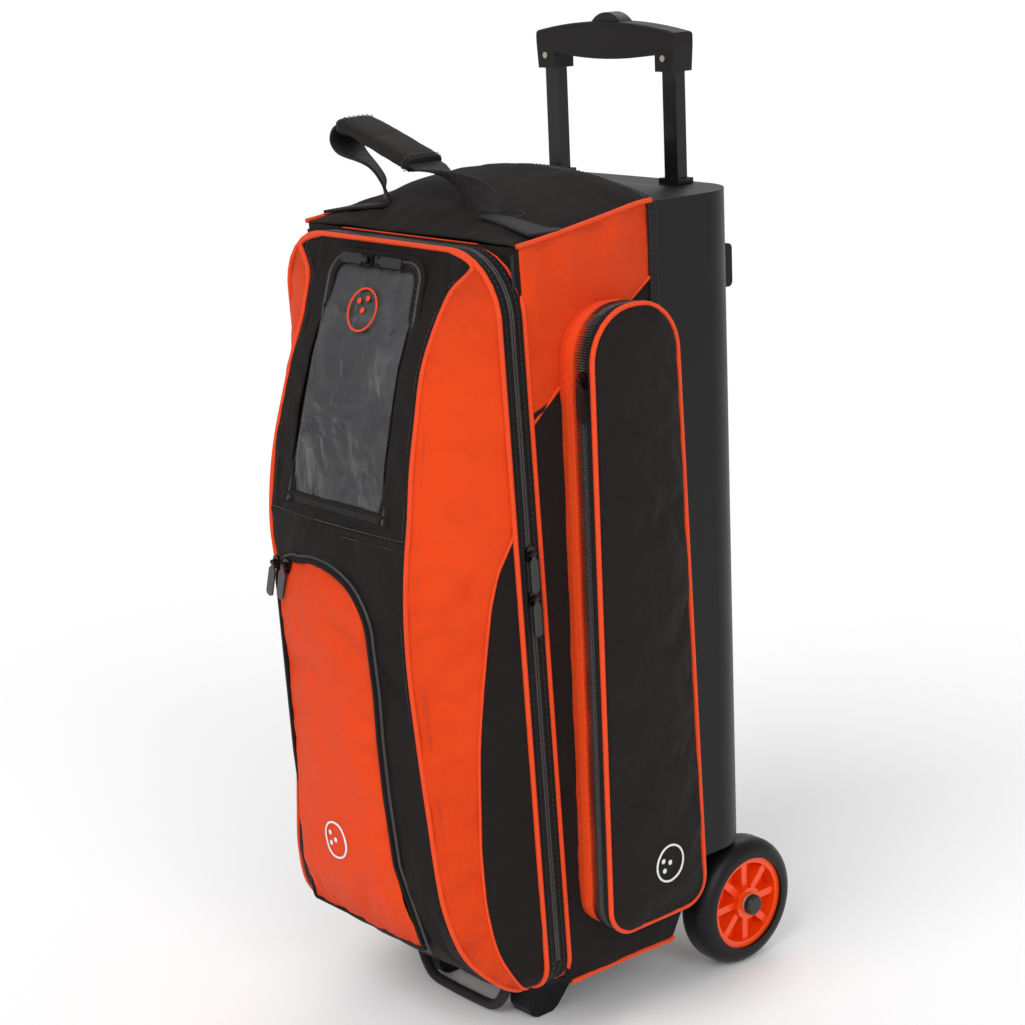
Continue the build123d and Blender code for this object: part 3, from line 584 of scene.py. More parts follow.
def ribbed_cloth(name, colour, pitch=2.2, along=True, rough=0.6):
    """Grosgrain tape or webbing with ribs across its length."""
    board = Board(name)
    _, u, v = board.cloth()
    run = v if along else u
    rib = (run * (math.tau / (pitch * MM)) + (u * (math.tau / 0.004)).wave() * 0.7).wave()
    place = board.place()
    lint = board.cloud(place, 300.0, 3.0, 0.7)
    base = board.tint(rib * 0.35 + lint * 0.55, shade(colour, 0.5), shade(colour, 1.9))
    raised = board.bump(rib + lint * 0.4, 0.45, 0.9)
    return board.finish({"Base Color": base, "Roughness": rough + lint * 0.15,
                         "Normal": raised, "Sheen Weight": 0.05, "Sheen Roughness": 0.4,
                         "Specular IOR Level": 0.3})


def moulded(name, colour, rough=0.45, grain=900.0, depth=0.08, coat=0.0, wear=0.25,
            shine=0.22):
    """Moulded plastic or painted metal with a fine grain and slightly polished patches."""
    board = Board(name)
    place = board.place()
    fine = board.cloud(place, grain, 3.0, 0.6)
    wide = board.cloud(place, 11.0, 3.0, 0.6, 0.4)
    base = board.tint(wide * 0.6 + fine * 0.4, shade(colour, 1 - wear), shade(colour, 1 + wear))
    raised = board.bump(fine, depth, 0.6)
    return board.finish({"Base Color": base, "Roughness": (rough - 0.08) + wide * 0.16,
                         "Normal": raised, "Coat Weight": coat, "Coat Roughness": 0.12,
                         "Specular IOR Level": shine})


def metal(name, colour, rough=0.3):
    """Bare or plated metal with faint brushing."""
    board = Board(name)
    place = board.place()
    brushed = board.cloud(place, 500.0, 3.0, 0.7)
    base = board.tint(brushed, shade(colour, 0.8), shade(colour, 1.15))
    return board.finish({"Base Color": base, "Metallic": 1.0,
                         "Roughness": (rough - 0.06) + brushed * 0.16,
                         "Normal": board.bump(brushed, 0.05, 0.4)})


def foam(name, colour):
    """Open-celled seat foam."""
    board = Board(name)
    place = board.place()
    cells = board.node("ShaderNodeTexVoronoi", None, {"Vector": place, "Scale": 520.0})
    wide = board.cloud(place, 14.0, 3.0)
    base = board.tint(cells * 0.7 + wide * 0.5, shade(colour, 0.6), shade(colour, 1.35))
    return board.finish({"Base Color": base, "Roughness": 0.88,
                         "Normal": board.bump(cells, 0.4, 0.7), "Sheen Weight": 0.1})


def netting(name, colour):
    """Open knitted net."""
    board = Board(name)
    place = board.place()
    parts = board.tree.nodes.new("ShaderNodeSeparateXYZ")
    board.feed(parts.inputs[0], place)
    x, z = Value(board, parts.outputs[0]), Value(board, parts.outputs[2])
    turn = math.pi / 0.0032
    open_cell = ((x + z) * turn).wave().size() * ((x - z) * turn).wave().size()
    strand = 1 - open_cell.over(0.3)
    base = board.tint(open_cell, shade(colour, 1.4), shade(colour, 0.7))
    return board.finish({"Base Color": base, "Roughness": 0.7, "Alpha": strand,
                         "Normal": board.bump(open_cell, 0.4, 0.6)})


def clear_vinyl(name):
    """Clear sheet that shows mostly as soft, broken highlights."""
    board = Board(name)
    place = board.place()
    soft = board.cloud(place, 16.0, 3.0, 0.6, 1.4)
    crease = board.cloud(place, 9.0, 2.0, 0.5, 3.2)
    normal = board.bump(soft * 0.5 + crease, 7.0, 0.7)
    glass = board.node("ShaderNodeBsdfPrincipled", None,
                       {"Base Color": (0.14, 0.14, 0.145), "Roughness": 0.1,
                        "Normal": normal, "Specular IOR Level": 0.9, "Coat Weight": 1.0,
                        "Coat Roughness": 0.04})
    clear = board.node("ShaderNodeBsdfTransparent", None, {"Color": (0.82, 0.82, 0.83)})
    edge = board.node("ShaderNodeFresnel", None, {"IOR": 1.7, "Normal": normal})
    haze = crease.power(4.0) * 1.4 + edge * 0.8
    return board.finish(None, board.node("ShaderNodeMixShader", None,
                                         {0: haze, 1: clear, 2: glass}))


def thread_finish(name, colour):
    """Twisted sewing thread."""
    board = Board(name)
    place = board.place()
    twist = board.cloud(place, 900.0, 2.0)
    base = board.tint(twist, shade(colour, 0.6), shade(colour, 1.3))
    return board.finish({"Base Color": base, "Roughness": 0.6,
                         "Normal": board.bump(twist, 0.2, 0.6), "Sheen Weight": 0.2})


def piped_cloth(name, colour):
    """Cloth drawn tightly round a cord, with its weave at a slant."""
    board = Board(name)
    _, u, v = board.cloth()
    slant = ((u * 1.0 + v) * (math.tau / 0.0026)).wave()
    place = board.place()
    lint = board.cloud(place, 260.0, 2.0)
    base = board.tint(slant * 0.3 + lint * 0.6, shade(colour, 0.66), shade(colour, 1.12))
    return board.finish({"Base Color": base, "Roughness": 0.5 + lint * 0.15,
                         "Normal": board.bump(slant + lint * 0.3, 0.28, 0.8),
                         "Sheen Weight": 0.03, "Specular IOR Level": 0.3})


FINISHES = {}


def make_finishes(look):
    """Every finish, from the colours chosen in the panel."""
    orange = tuple(look.orange)
    black = tuple(look.black)
    shell = tuple(look.shell)
    FINISHES.update({
        "orange_cloth": honeycomb_cloth("orange_ripstop", orange),
        "orange_band": honeycomb_cloth("orange_gusset_cloth", shade(orange, 1.05)),
        "orange_piping": piped_cloth("orange_piping", shade(orange, 1.08)),
        "orange_thread": thread_finish("orange_thread", shade(orange, 0.55)),
        "black_cloth": plain_cloth("black_polyester", black),
        "top_cloth": plain_cloth("black_top_cloth", shade(black, 1.1), 1.3, 1.2, 0.78),
        "lid_cloth": plain_cloth("black_lid_cloth", shade(black, 1.15), 1.2, 2.4, 0.7),
        "black_thread": thread_finish("black_thread", shade(black, 1.3)),
        "white_thread": thread_finish("pale_thread", (0.72, 0.72, 0.72)),
        "tape": ribbed_cloth("zipper_tape_cloth", shade(black, 0.55), 1.6, True, 0.75),
        "coil": moulded("zipper_coil_nylon", (0.035, 0.033, 0.033), 0.3, 600.0, 0.04, 0.3),
        "binding": ribbed_cloth("binding_tape", shade(black, 0.8), 2.4, True, 0.6),
        "webbing": ribbed_cloth("handle_webbing", shade(black, 0.85), 2.6, True, 0.5),
        "sleeve": plain_cloth("handle_wrap_cloth", shade(black, 1.2), 0.9, 0.8, 0.6),
        "lining": plain_cloth("grey_lining", (0.022, 0.022, 0.024), 1.4, 1.5, 0.8),
        "vinyl": clear_vinyl("clear_vinyl"),
        "shell": moulded("moulded_shell", shell, 0.42, 1400.0, 0.03, 0.0, 0.12),
        "base": moulded("moulded_base", shade(shell, 0.7), 0.5, 700.0, 0.1),
        "tube": moulded("black_anodised_tube", (0.004, 0.0035, 0.0033), 0.32, 1800.0, 0.02, 0.2),
        "grip": moulded("grip_plastic", (0.0075, 0.006, 0.0058), 0.45, 520.0, 0.14),
        "button": moulded("button_plastic", (0.012, 0.011, 0.0105), 0.4, 700.0, 0.05),
        "tyre": moulded("tyre_rubber", (0.007, 0.006, 0.006), 0.4, 640.0, 0.16),
        "hub": moulded("orange_hub", shade(orange, 0.95), 0.28, 1200.0, 0.02, 0.5, 0.1),
        "cap": moulded("wheel_cap", (0.02, 0.019, 0.018), 0.35, 900.0, 0.04, 0.2),
        "nylon": moulded("pale_nylon", (0.5, 0.49, 0.46), 0.4, 800.0, 0.05),
        "bumper": moulded("bumper_rubber", (0.007, 0.006, 0.006), 0.55, 500.0, 0.15),
        "steel": metal("bright_steel", (0.62, 0.6, 0.56), 0.28),
        "rivet": metal("rivet_brass", (0.5, 0.43, 0.33), 0.34),
        "slider": metal("dark_zipper_metal", (0.06, 0.055, 0.05), 0.3),
        "pull": moulded("glossy_pull", (0.012, 0.011, 0.011), 0.22, 900.0, 0.03, 0.6),
        "foam": foam("ball_seat_foam", (0.06, 0.06, 0.065)),
        "net": netting("shoe_netting", (0.03, 0.03, 0.03)),
    })


# --- shapes shared by several pieces ---
RING = rounded([(HALF, BASE), (HALF, DOOR_TOP), (-HALF, DOOR_TOP), (-HALF, BASE)],
               [CORNER, TOP_CORNER, TOP_CORNER, CORNER])
POCKET = rounded([(31, 120), (150, 120), (130, 686), (31, 686)], [25, 25, 46, 46])
WINDOW = rounded([(74, 506), (68, 729), (-68, 729), (-74, 506)], [4, 24, 24, 4])


def circle_through(a, b, c, count):
    """Points on the arc from a through b to c."""
    a, b, c = Vector(a), Vector(b), Vector(c)
    d = 2 * (a.x * (b.y - c.y) + b.x * (c.y - a.y) + c.x * (a.y - b.y))
    ux = ((a.dot(a)) * (b.y - c.y) + (b.dot(b)) * (c.y - a.y) + (c.dot(c)) * (a.y - b.y)) / d
    uy = ((a.dot(a)) * (c.x - b.x) + (b.dot(b)) * (a.x - c.x) + (c.dot(c)) * (b.x - a.x)) / d
    centre = Vector((ux, uy))
    radius = (a - centre).length
    first = math.atan2(a.y - uy, a.x - ux)
    middle = math.atan2(b.y - uy, b.x - ux)
    last = math.atan2(c.y - uy, c.x - ux)
    while middle > first:
        middle -= math.tau
    while last > middle:
        last -= math.tau
    return [centre + Vector((math.cos(t), math.sin(t))) * radius
            for t in (mix(first, last, k / count) for k in range(count + 1))]


FLAP = ([Vector((-97, FLAP_FOOT + 16)), Vector((-93, 267))]
        + circle_through((-89, 426), (-78, 457), (-47, 468), 10)
        + circle_through((-47, 468), (-8, 470), (28, 458), 8)[1:]
        + circle_through((28, 458), (50, 435), (57, 400), 8)[1:]
        + [Vector((57, 355)), Vector((56, 310)), Vector((58, 262)), Vector((66, 196)),
           Vector((82, FLAP_FOOT + 16)), Vector((76, FLAP_FOOT + 2)),
           Vector((-90, FLAP_FOOT + 2))])


def shrunk(outline, inset):
    """Closed outline moved inwards by inset."""
    made = []
    total = len(outline)
    area = sum(a.x * b.y - b.x * a.y for a, b in zip(outline, outline[1:] + outline[:1]))
    for k in range(total):
        run = (outline[(k + 1) % total] - outline[k - 1]).normalized()
        inward = Vector((-run.y, run.x)) * (1 if area > 0 else -1)
        made.append(outline[k] + inward * inset)
    return made


def ring_place(behind, lift=0.0):
    """Zipper ring round the door opening, `behind` the zipper plane."""
    outline = shrunk(RING, -lift)
    return [(p.x, seam_y(p.y) + behind, p.y) for p in outline]


def ring_corner(z):
    """Corner radius of the door opening at the end nearer to height z."""
    return TOP_CORNER if z > MIDDLE else CORNER


def ring_out(place):
    """Outward direction on the zipper ring, away from its middle line."""
    corner = ring_corner(place.z)
    x = max(abs(place.x) - (HALF - corner), 0.0) * (1 if place.x > 0 else -1)
    low, high = BASE + CORNER, DOOR_TOP - TOP_CORNER
    z = place.z - high if place.z > high else min(place.z - low, 0.0)
    return Vector((x, 0.0, z)) if abs(x) + abs(z) > 1e-6 else Vector((1, 0, 0))


def coil_run(behind, lift):
    """The zipper's run up one side, over the top and down the other."""
    outline = [p for p in shrunk(RING, -lift) if p.y > BASE + CORNER - 2]
    start = next(k for k in range(len(outline))
                 if outline[k].x > 0 and outline[k - 1].x < 0)
    run = outline[start:] + outline[:start]
    return [(p.x, seam_y(p.y) + behind, p.y) for p in run]


def front_normal(z):
    """Outward direction of the door's middle panel at height z."""
    rise = front_y(z + 4) - front_y(z - 4)
    return Vector((0, -8, rise)).normalized()


def on_front(outline, proud):
    """Outline drawn in front view, laid `proud` of the door's middle panel."""
    made = []
    for p in outline:
        n = front_normal(p.y)
        made.append(Vector((p.x, front_y(p.y), p.y)) + n * proud)
    return made


def edge_x(z):
    """Half width of the door opening at height z, with its rounded corners."""
    corner = ring_corner(z)
    down = max(z - (DOOR_TOP - TOP_CORNER), (BASE + CORNER) - z, 0.0)
    return HALF - corner + math.sqrt(max(corner ** 2 - min(down, corner) ** 2, 0.0))


LINE = [Vector(row) for row in DOOR_LINE]


def door_row(share):
    """Height, depth and middle half width at a share of the way down the door."""
    row = hermite(LINE, share)
    z = min(max(row.x, BASE), DOOR_TOP)
    return z, max(row.y, 13.2), min(row.z, edge_x(z) - 1.5)


def door_share(z):
    """Share of the way down the door where it passes height z."""
    low, high = 0.0, 1.0
    for _ in range(30):
        middle = (low + high) / 2
        if door_row(middle)[0] > z:
            low = middle
        else:
            high = middle
    return low


def door_place(side, across, share, puff=0.0):
    """Point on the door: across 0 at the zipper, 1 at the middle panel's edge, 2 in the middle."""
    z, depth, half = door_row(share)
    edge = edge_x(z)
    if across <= 1.0:
        x = mix(edge, half, across)
        forward = mix(GUSSET, depth, across)
        swell = math.sin(math.pi * across) * puff * min(1.0, (depth - 13) / 30)
        lean = Vector((abs(depth - GUSSET), edge - half)).normalized()
        return (side * (x + swell * lean.x), seam_y(z) - forward - swell * lean.y, z)
    t = across - 1.0
    crown = (1 - (1 - t) ** 2) * 5.0 * min(1.0, (depth - 13) / 40)
    return (side * half * (1 - t), seam_y(z) - depth - crown, z)


# --- panel values ---
class BagLook(bpy.types.PropertyGroup):
    """Colours of the cloth and the shell."""

    orange: bpy.props.FloatVectorProperty(
        name="Orange cloth", description="Colour of the orange panels and piping",
        subtype="COLOR", size=3, min=0, max=1, default=(0.93, 0.064, 0.003))
    black: bpy.props.FloatVectorProperty(
        name="Black cloth", description="Colour of the black panels",
        subtype="COLOR", size=3, min=0, max=1, default=(0.0095, 0.0072, 0.0068))
    shell: bpy.props.FloatVectorProperty(
        name="Rear shell", description="Colour of the moulded rear shell",
        subtype="COLOR", size=3, min=0, max=1, default=(0.0045, 0.0037, 0.0038))


class BagSizes(bpy.types.PropertyGroup):
    """Sizes of the sewn details."""

    piping: bpy.props.FloatProperty(
        name="Piping radius", description="Radius of the corded seams",
        unit="LENGTH", min=0.001, max=0.004, default=0.0023)
    puff: bpy.props.FloatProperty(
        name="Padding", description="How far padded panels stand out",
        unit="LENGTH", min=0.0, max=0.008, default=0.004)
    stitch: bpy.props.FloatProperty(
        name="Stitch length", description="Length of one stitch and its gap",
        unit="LENGTH", min=0.002, max=0.01, default=0.0052)


class StageSizes(bpy.types.PropertyGroup):
    """Lens of the camera and strength of the lights."""

    lens: bpy.props.FloatProperty(
        name="Lens", description="Focal length of the camera", unit="CAMERA",
        min=20, max=200, default=79.9)
    light: bpy.props.FloatProperty(
        name="Light", description="Strength of the soft lights", min=0.0, max=4.0, default=1.0)


def sizes():
    """The panel's sizes."""
    return bpy.context.scene.bag_sizes


def piping(route):
    """Round corded piping along a route."""
    return swept(route, circle(sizes().piping / MM, 10))


def seam_thread(points, outward, side, out, closed=False, smooth=True):
    """A run of stitches beside a seam."""
    route = Route(points, outward, sizes().stitch / MM / 4, closed, smooth)
    return stitched(route, side, out)


def both(maker):
    """The piece made on the right, then on the left."""
    for word, side in (("right", 1), ("left", -1)):
        maker(word, side)


# --- pieces ---
class BagOperator:
    """Shared settings of every sewing step."""

    bl_options = {"REGISTER", "UNDO"}


class BAG_OT_door(BagOperator, bpy.types.Operator):
    """Sews the deep front door: black middle, orange flanks, black lower flanks"""

    bl_idname = "bag.door"
    bl_label = "Front door"

    def execute(self, context):
        hole = shrunk(WINDOW, 6.5)

        def middle(u, w):
            side, t = (1, 1 + 2 * u) if u < 0.5 else (-1, 3 - 2 * u)
            return door_place(side, t, w)

        bm = faced(grid(64, 150, middle, (0.2, 0.8)), (0, -1, 0))
        gone = []
        for face in bm.faces:
            mid = face.calc_center_median() / MM
            if 506 < mid.z < 726 and mid.y - SHIFT_Y < -5:
                low, high = span(hole, mid.z)
                if low < mid.x < high:
                    gone.append(face)
        bmesh.ops.delete(bm, geom=gone, context="FACES")
        rumpled(bm, 1.8, 70, 3.0, (1.6, 1, 0.8))
        centre = sewn("door_middle_panel", bm, FINISHES["black_cloth"], "front_door",
                      ["door_shell"], 2.4, 1)
        panels = [centre]
        puff = sizes().puff / MM
        top_share = door_share(500)
        for word, side in (("right", 1), ("left", -1)):
            def upper(u, w):
                z = door_row(w)[0]
                start = max(between(FLANK_SEAM, z), 0.0)
                return door_place(side, mix(start, 1.0, u), w, puff)

            def lower(u, w):
                share = mix(top_share, 1.0, w)
                z = door_row(share)[0]
                end = max(between(FLANK_SEAM, z), 0.001)
                return door_place(side, mix(0.0, end, u), share, puff)

            bm = faced(grid(18, 150, upper, (0.09, 0.8)), (side, -1, 0))
            rumpled(bm, 2.2, 55, 11.0 * side, (1, 1, 1.5))
            panels.append(sewn("door_flank_" + word, bm, FINISHES["orange_cloth"], "front_door",
                               [], 2.4, 1))
            bm = faced(grid(12, 100, lower, (0.06, 0.48)), (side, -1, 0))
            rumpled(bm, 1.5, 60, 7.0 * side)
            panels.append(sewn("door_lower_flank_" + word, bm, FINISHES["black_cloth"],
                               "front_door", [], 2.4, 1))
            run = [door_place(side, 1.0, k / 60) for k in range(61)]
            route = Route(run, (side * 0.75, -1, 0), 2.5)
            sewn("door_panel_piping_" + word, piping(route), FINISHES["orange_piping"],
                 "front_door", [])
            seam = [door_place(side, max(between(FLANK_SEAM, door_row(s)[0]), 0), s, puff)
                    for s in (mix(top_share, 1.0, k / 30) for k in range(31))]
            route = Route(seam, (side, -1, 0), 2.5)
            sewn("door_flank_seam_" + word, swept(route, circle(1.5, 8)),
                 FINISHES["orange_piping"], "front_door", [])
            run = [door_place(side, 0.9, k / 40, puff) for k in range(1, 40)]
            sewn("door_flank_thread_" + word, seam_thread(run, (side, -1, 0), 0, 0.8),
                 FINISHES["orange_thread"], "front_door", [])
            run = [door_place(side, 1.07, k / 40) for k in range(1, 40)]
            sewn("door_panel_thread_" + word, seam_thread(run, (side * 0.3, -1, 0), 0, 0.6),
                 FINISHES["black_thread"], "front_door", [])
        settled(panels, 1.2, 0.012, 3.5)
        z = 496
        run = [(x, front_y(z) - 5.5 * (1 - (x / 100) ** 2) - 0.6, z) for x in range(-99, 100, 11)]
        bead = swept(Route(run, (0, -1, 0), 4), slab(-3, 3, -1.5, 1.0))
        sewn("door_cross_seam", bead, FINISHES["black_cloth"], "front_door", [])
        parts = [seam_thread(run, (0, -1, 0), shift, 1.2) for shift in (-4.5, 4.5)]
        sewn("door_cross_thread", joined(*parts), FINISHES["black_thread"], "front_door", [])
        return {"FINISHED"}


class BAG_OT_main_zipper(BagOperator, bpy.types.Operator):
    """Sews both halves of the main zipper with their piped seams"""

    bl_idname = "bag.main_zipper"
    bl_label = "Main zipper"

    def execute(self, context):
        for word, side, body in (("body", 1, "bag_body"), ("door", -1, "front_door")):
            node = "zipper_half_" + word
            near, far = sorted((side * 0.4, side * 12.6))
            route = Route(ring_place(0.0), ring_out, 4.0, True, False)
            tape = swept(route, slab(near, far, -2.6, 0.1))
            fold_low, fold_high = sorted((side * 5.6, side * 12.8))
            fold = swept(route, slab(fold_low, fold_high, -1.2, 1.1))
            sewn("main_zipper_tape_" + word, tape, FINISHES["tape"], body, [node])
            sewn("main_zipper_fold_" + word, fold, FINISHES["black_cloth"], body, [])
            coil = Route(coil_run(side * 1.35, 0.0), ring_out, 0.75, False, False)
            sewn("main_zipper_coil_" + word, swept(coil, circle(1.45, 6, 0, 0.6), ribs()),
                 FINISHES["coil"], body, [])
            edge = Route(ring_place(side * 13.6), ring_out, 3.0, True, False)
            sewn("main_piping_" + word, swept(edge, circle(2.4, 10, 0, 0.8)),
                 FINISHES["orange_piping"], body, [])
            sewn("main_zipper_thread_" + word,
                 seam_thread(ring_place(side * 7.0), ring_out, 0, 1.35, True, False),
                 FINISHES["black_thread"], body, [])
        total = len(RING)

        def square(p):
            """Point on the body's square outline outside a point of the rounded ring."""
            upper = p.y > MIDDLE
            corner = ring_corner(p.y)
            across = abs(p.x) - (HALF - corner)
            along = p.y - (DOOR_TOP - corner) if upper else BASE + corner - p.y
            if along < 0:
                return Vector((math.copysign(HALF, p.x), p.y))
            rise = TOP_EDGE - DOOR_TOP if upper else 0.0
            if across < 0:
                return Vector((p.x, DOOR_TOP + rise if upper else BASE))
            reach = max(across, along, 1e-6)
            x = HALF - corner + corner * across / reach
            z = corner - corner * along / reach
            z = DOOR_TOP - z + rise * along / reach if upper else BASE + z
            return Vector((math.copysign(x, p.x), z))

        def shoulder(u, w):
            p = RING[round(w * total) % total]
            spot = p.lerp(square(p), u)
            hollow = SHOULDER_HOLLOW * math.sin(math.pi * u)
            return (spot.x, seam_y(spot.y) + GUSSET + 0.4 - hollow, spot.y)

        bm = faced(grid(4, total, shoulder, (0.02, 1.9), loop=True), (0, -1, 0))
        sewn("shoulder_panel", bm, FINISHES["black_cloth"], "bag_body", [], 1.5)
        return {"FINISHED"}


def ball_badge(place, outward, across, radius, body, name, finish, cloth=None):
    """Plain badge: a ring with three finger holes, laid on the cloth where one is given."""
    place, outward, across = Vector(place), Vector(outward).normalized(), Vector(across)
    across = (across - outward * across.dot(outward)).normalized()
    up = outward.cross(across)
    ring = [place + across * radius * math.cos(t) + up * radius * math.sin(t)
            for t in (math.tau * k / 24 for k in range(24))]
    parts = [swept(Route(ring, outward, 1.5, True), slab(-1.0, 1.0, -0.6, 0.7, 0.4))]
    for u, v in ((-0.28, 0.3), (0.16, 0.42), (0.02, -0.02)):
        dot = bmesh.new()
        dot.loops.layers.uv.new("cloth")
        bmesh.ops.create_uvsphere(dot, u_segments=12, v_segments=6, radius=radius * 0.15 * MM)
        centre = place + across * u * radius * 1.3 + up * v * radius * 1.3
        turn = Vector((0, 0, 1)).rotation_difference(outward).to_matrix().to_4x4()
        flat = Matrix.Scale(0.35, 4, Vector((0, 0, 1)))
        dot.transform(Matrix.Translation(at(*centre)) @ turn @ flat)
        parts.append(dot)
    bm = joined(*parts)
    if cloth:
        mesh = cloth.data
        skin = BVHTree.FromPolygons([v.co for v in mesh.vertices],
                                    [tuple(face.vertices) for face in mesh.polygons])
        base = at(*place)
        for vert in bm.verts:
            height = (vert.co - base).dot(outward)
            start = vert.co + outward * (RAY_START * MM - height)
            hit = skin.ray_cast(start, -outward)[0]
            if hit:
                vert.co = hit + outward * (height + BADGE_LIFT * MM)
    return sewn(name, bm, finish, body)


class BAG_OT_window(BagOperator, bpy.types.Operator):
    """Sews the zipped clear window on the door"""

    bl_idname = "bag.window"
    bl_label = "Clear window"

    def execute(self, context):
        body = "window_flap"

        def out(place):
            return front_normal(place.z)

        band = shrunk(WINDOW, 6.5)
        route = Route(on_front(band, 3.2), out, 3.5, True, False)
        frame_band = swept(route, slab(-6.5, 6.5, -3.0, 0.6))
        sewn("window_band", frame_band, FINISHES["tape"], body, ["window_frame"])
        outer = Route(on_front(shrunk(WINDOW, 1.5), 3.4), out, 3.5, True, False)
        sewn("window_edge", swept(outer, slab(-2.2, 2.0, -2.0, 1.5)), FINISHES["black_cloth"],
             body, [])
        inner = Route(on_front(shrunk(WINDOW, 11.0), 3.4), out, 3.5, True, False)
        sewn("window_binding", swept(inner, slab(-2.0, 2.2, -2.0, 1.6)), FINISHES["black_cloth"],
             body, [])
        run = [p for p in on_front(shrunk(WINDOW, 5.4), 4.0) if p.z > 509]
        first = next(k for k in range(len(run)) if run[k].x > 0 and run[k - 1].x < 0)
        run = run[first:] + run[:first]
        coil = Route(run, out, 0.75, False, False)
        sewn("window_coil", swept(coil, circle(1.7, 6), ribs()), FINISHES["coil"], body, [])
        sewn("window_thread", seam_thread(on_front(shrunk(WINDOW, 8.6), 3.6), out, 0, 0.8, True,
                                          False), FINISHES["black_thread"], body, [])
        clear = shrunk(WINDOW, 9.5)
        low = min(p.y for p in clear) + 0.4
        high = max(p.y for p in clear) - 0.4

        def pane(u, w):
            z = mix(low, high, (1 - math.cos(math.pi * w)) / 2)
            left, right = span(clear, z)
            x = mix(left, right, u)
            n = front_normal(z)
            share = math.sin(math.pi * u) * math.sin(math.pi * w)
            folds = noise.fractal(Vector((x / 34, z / 60, 2.0)), 0.8, 2.0, 3)
            sharp = abs(noise.noise(Vector((x / 22 + z / 60, z / 44, 5.0)))) ** 0.6
            lift = 1.9 + share ** 0.4 * (folds * 2.6 + sharp * 2.6)
            return Vector((x, front_y(z), z)) + n * lift

        bm = faced(grid(50, 90, pane, (0.12, 0.2)), (0, -1, 0))
        sewn("window_pane_sheet", bm, FINISHES["vinyl"], body, ["window_pane"],
             0.5, 1)
        z = 680
        ball_badge(Vector((-2, front_y(z), z)) + front_normal(z) * 6.2, front_normal(z), (1, 0, 0),
                   19, body, "window_badge", FINISHES["orange_piping"])
        return {"FINISHED"}


class BAG_OT_flap(BagOperator, bpy.types.Operator):
    """Sews the lower accessory pocket's orange face and its zipper band"""

    bl_idname = "bag.flap"
    bl_label = "Lower pocket"

    def execute(self, context):
        body = "lower_flap"
        inset, proud = 10.0, 11.5

        def out(place):
            return front_normal(place.z)

        def band(u, w):
            line = lines[round(u * 8)]
            return line[round(w * len(line)) % len(line)]

        lines = [on_front(shrunk(FLAP, inset * k / 8),
                          proud * math.sin(math.pi / 2 * (k / 8)) ** 0.8) for k in range(9)]
        bm = grid(8, len(FLAP), band, (0.018, 1.0), loop=True)
        faced(bm, (0, -1, 0))
        sewn("pocket_zipper_band", bm, FINISHES["tape"], body, ["pocket_flap"],
             2.0, 1)
        route = Route(on_front(shrunk(FLAP, 4.6), 9.0), out, 0.75, True, False)
        sewn("pocket_coil", swept(route, circle(1.9, 6), ribs()), FINISHES["coil"], body, [])
        edge = Route(on_front(shrunk(FLAP, 8.6), proud + 0.2), out, 3.0, True, False)
        sewn("pocket_face_edge", swept(edge, slab(-1.8, 1.8, -1.2, 1.3)),
             FINISHES["black_cloth"], body, [])
        face = shrunk(FLAP, inset - 0.5)
        low, high = min(p.y for p in face) + 0.3, max(p.y for p in face) - 0.3

        def orange(u, w):
            z = mix(low, high, (1 - math.cos(math.pi * w)) / 2)
            left, right = span(face, z)
            x = mix(left, right, u)
            swell = (math.sin(math.pi * u) * math.sin(math.pi * w)) ** 0.5 * 4.5
            return Vector((x, front_y(z), z)) + front_normal(z) * (proud + swell)

        bm = faced(grid(44, 96, orange, (0.15, 0.36)), (0, -1, 0))
        rumpled(bm, 2.4, 48, 31.0, (1.3, 1, 0.8))
        face_panel = sewn("pocket_face", bm, FINISHES["orange_cloth"], body, [],
                          2.0, 1)
        settled([face_panel], 2.0, 0.02, 4.0)
        z = 200
        ball_badge(Vector((-18, front_y(z), z)) + front_normal(z) * (proud + 7.0),
                   front_normal(z), (0.2, 0, 1), 17, body, "pocket_badge",
                   FINISHES["white_thread"], face_panel)
        return {"FINISHED"}


def side_top(y):
    """Height of the top side edge at depth y."""
    return SHELL_TOP - between(SIDE_TOP, y)


def top_z(x, y):
    """Height of the domed top at a point."""
    return side_top(y) + between(DOME, y) * (1 - (x / HALF) ** 2) + 3.2


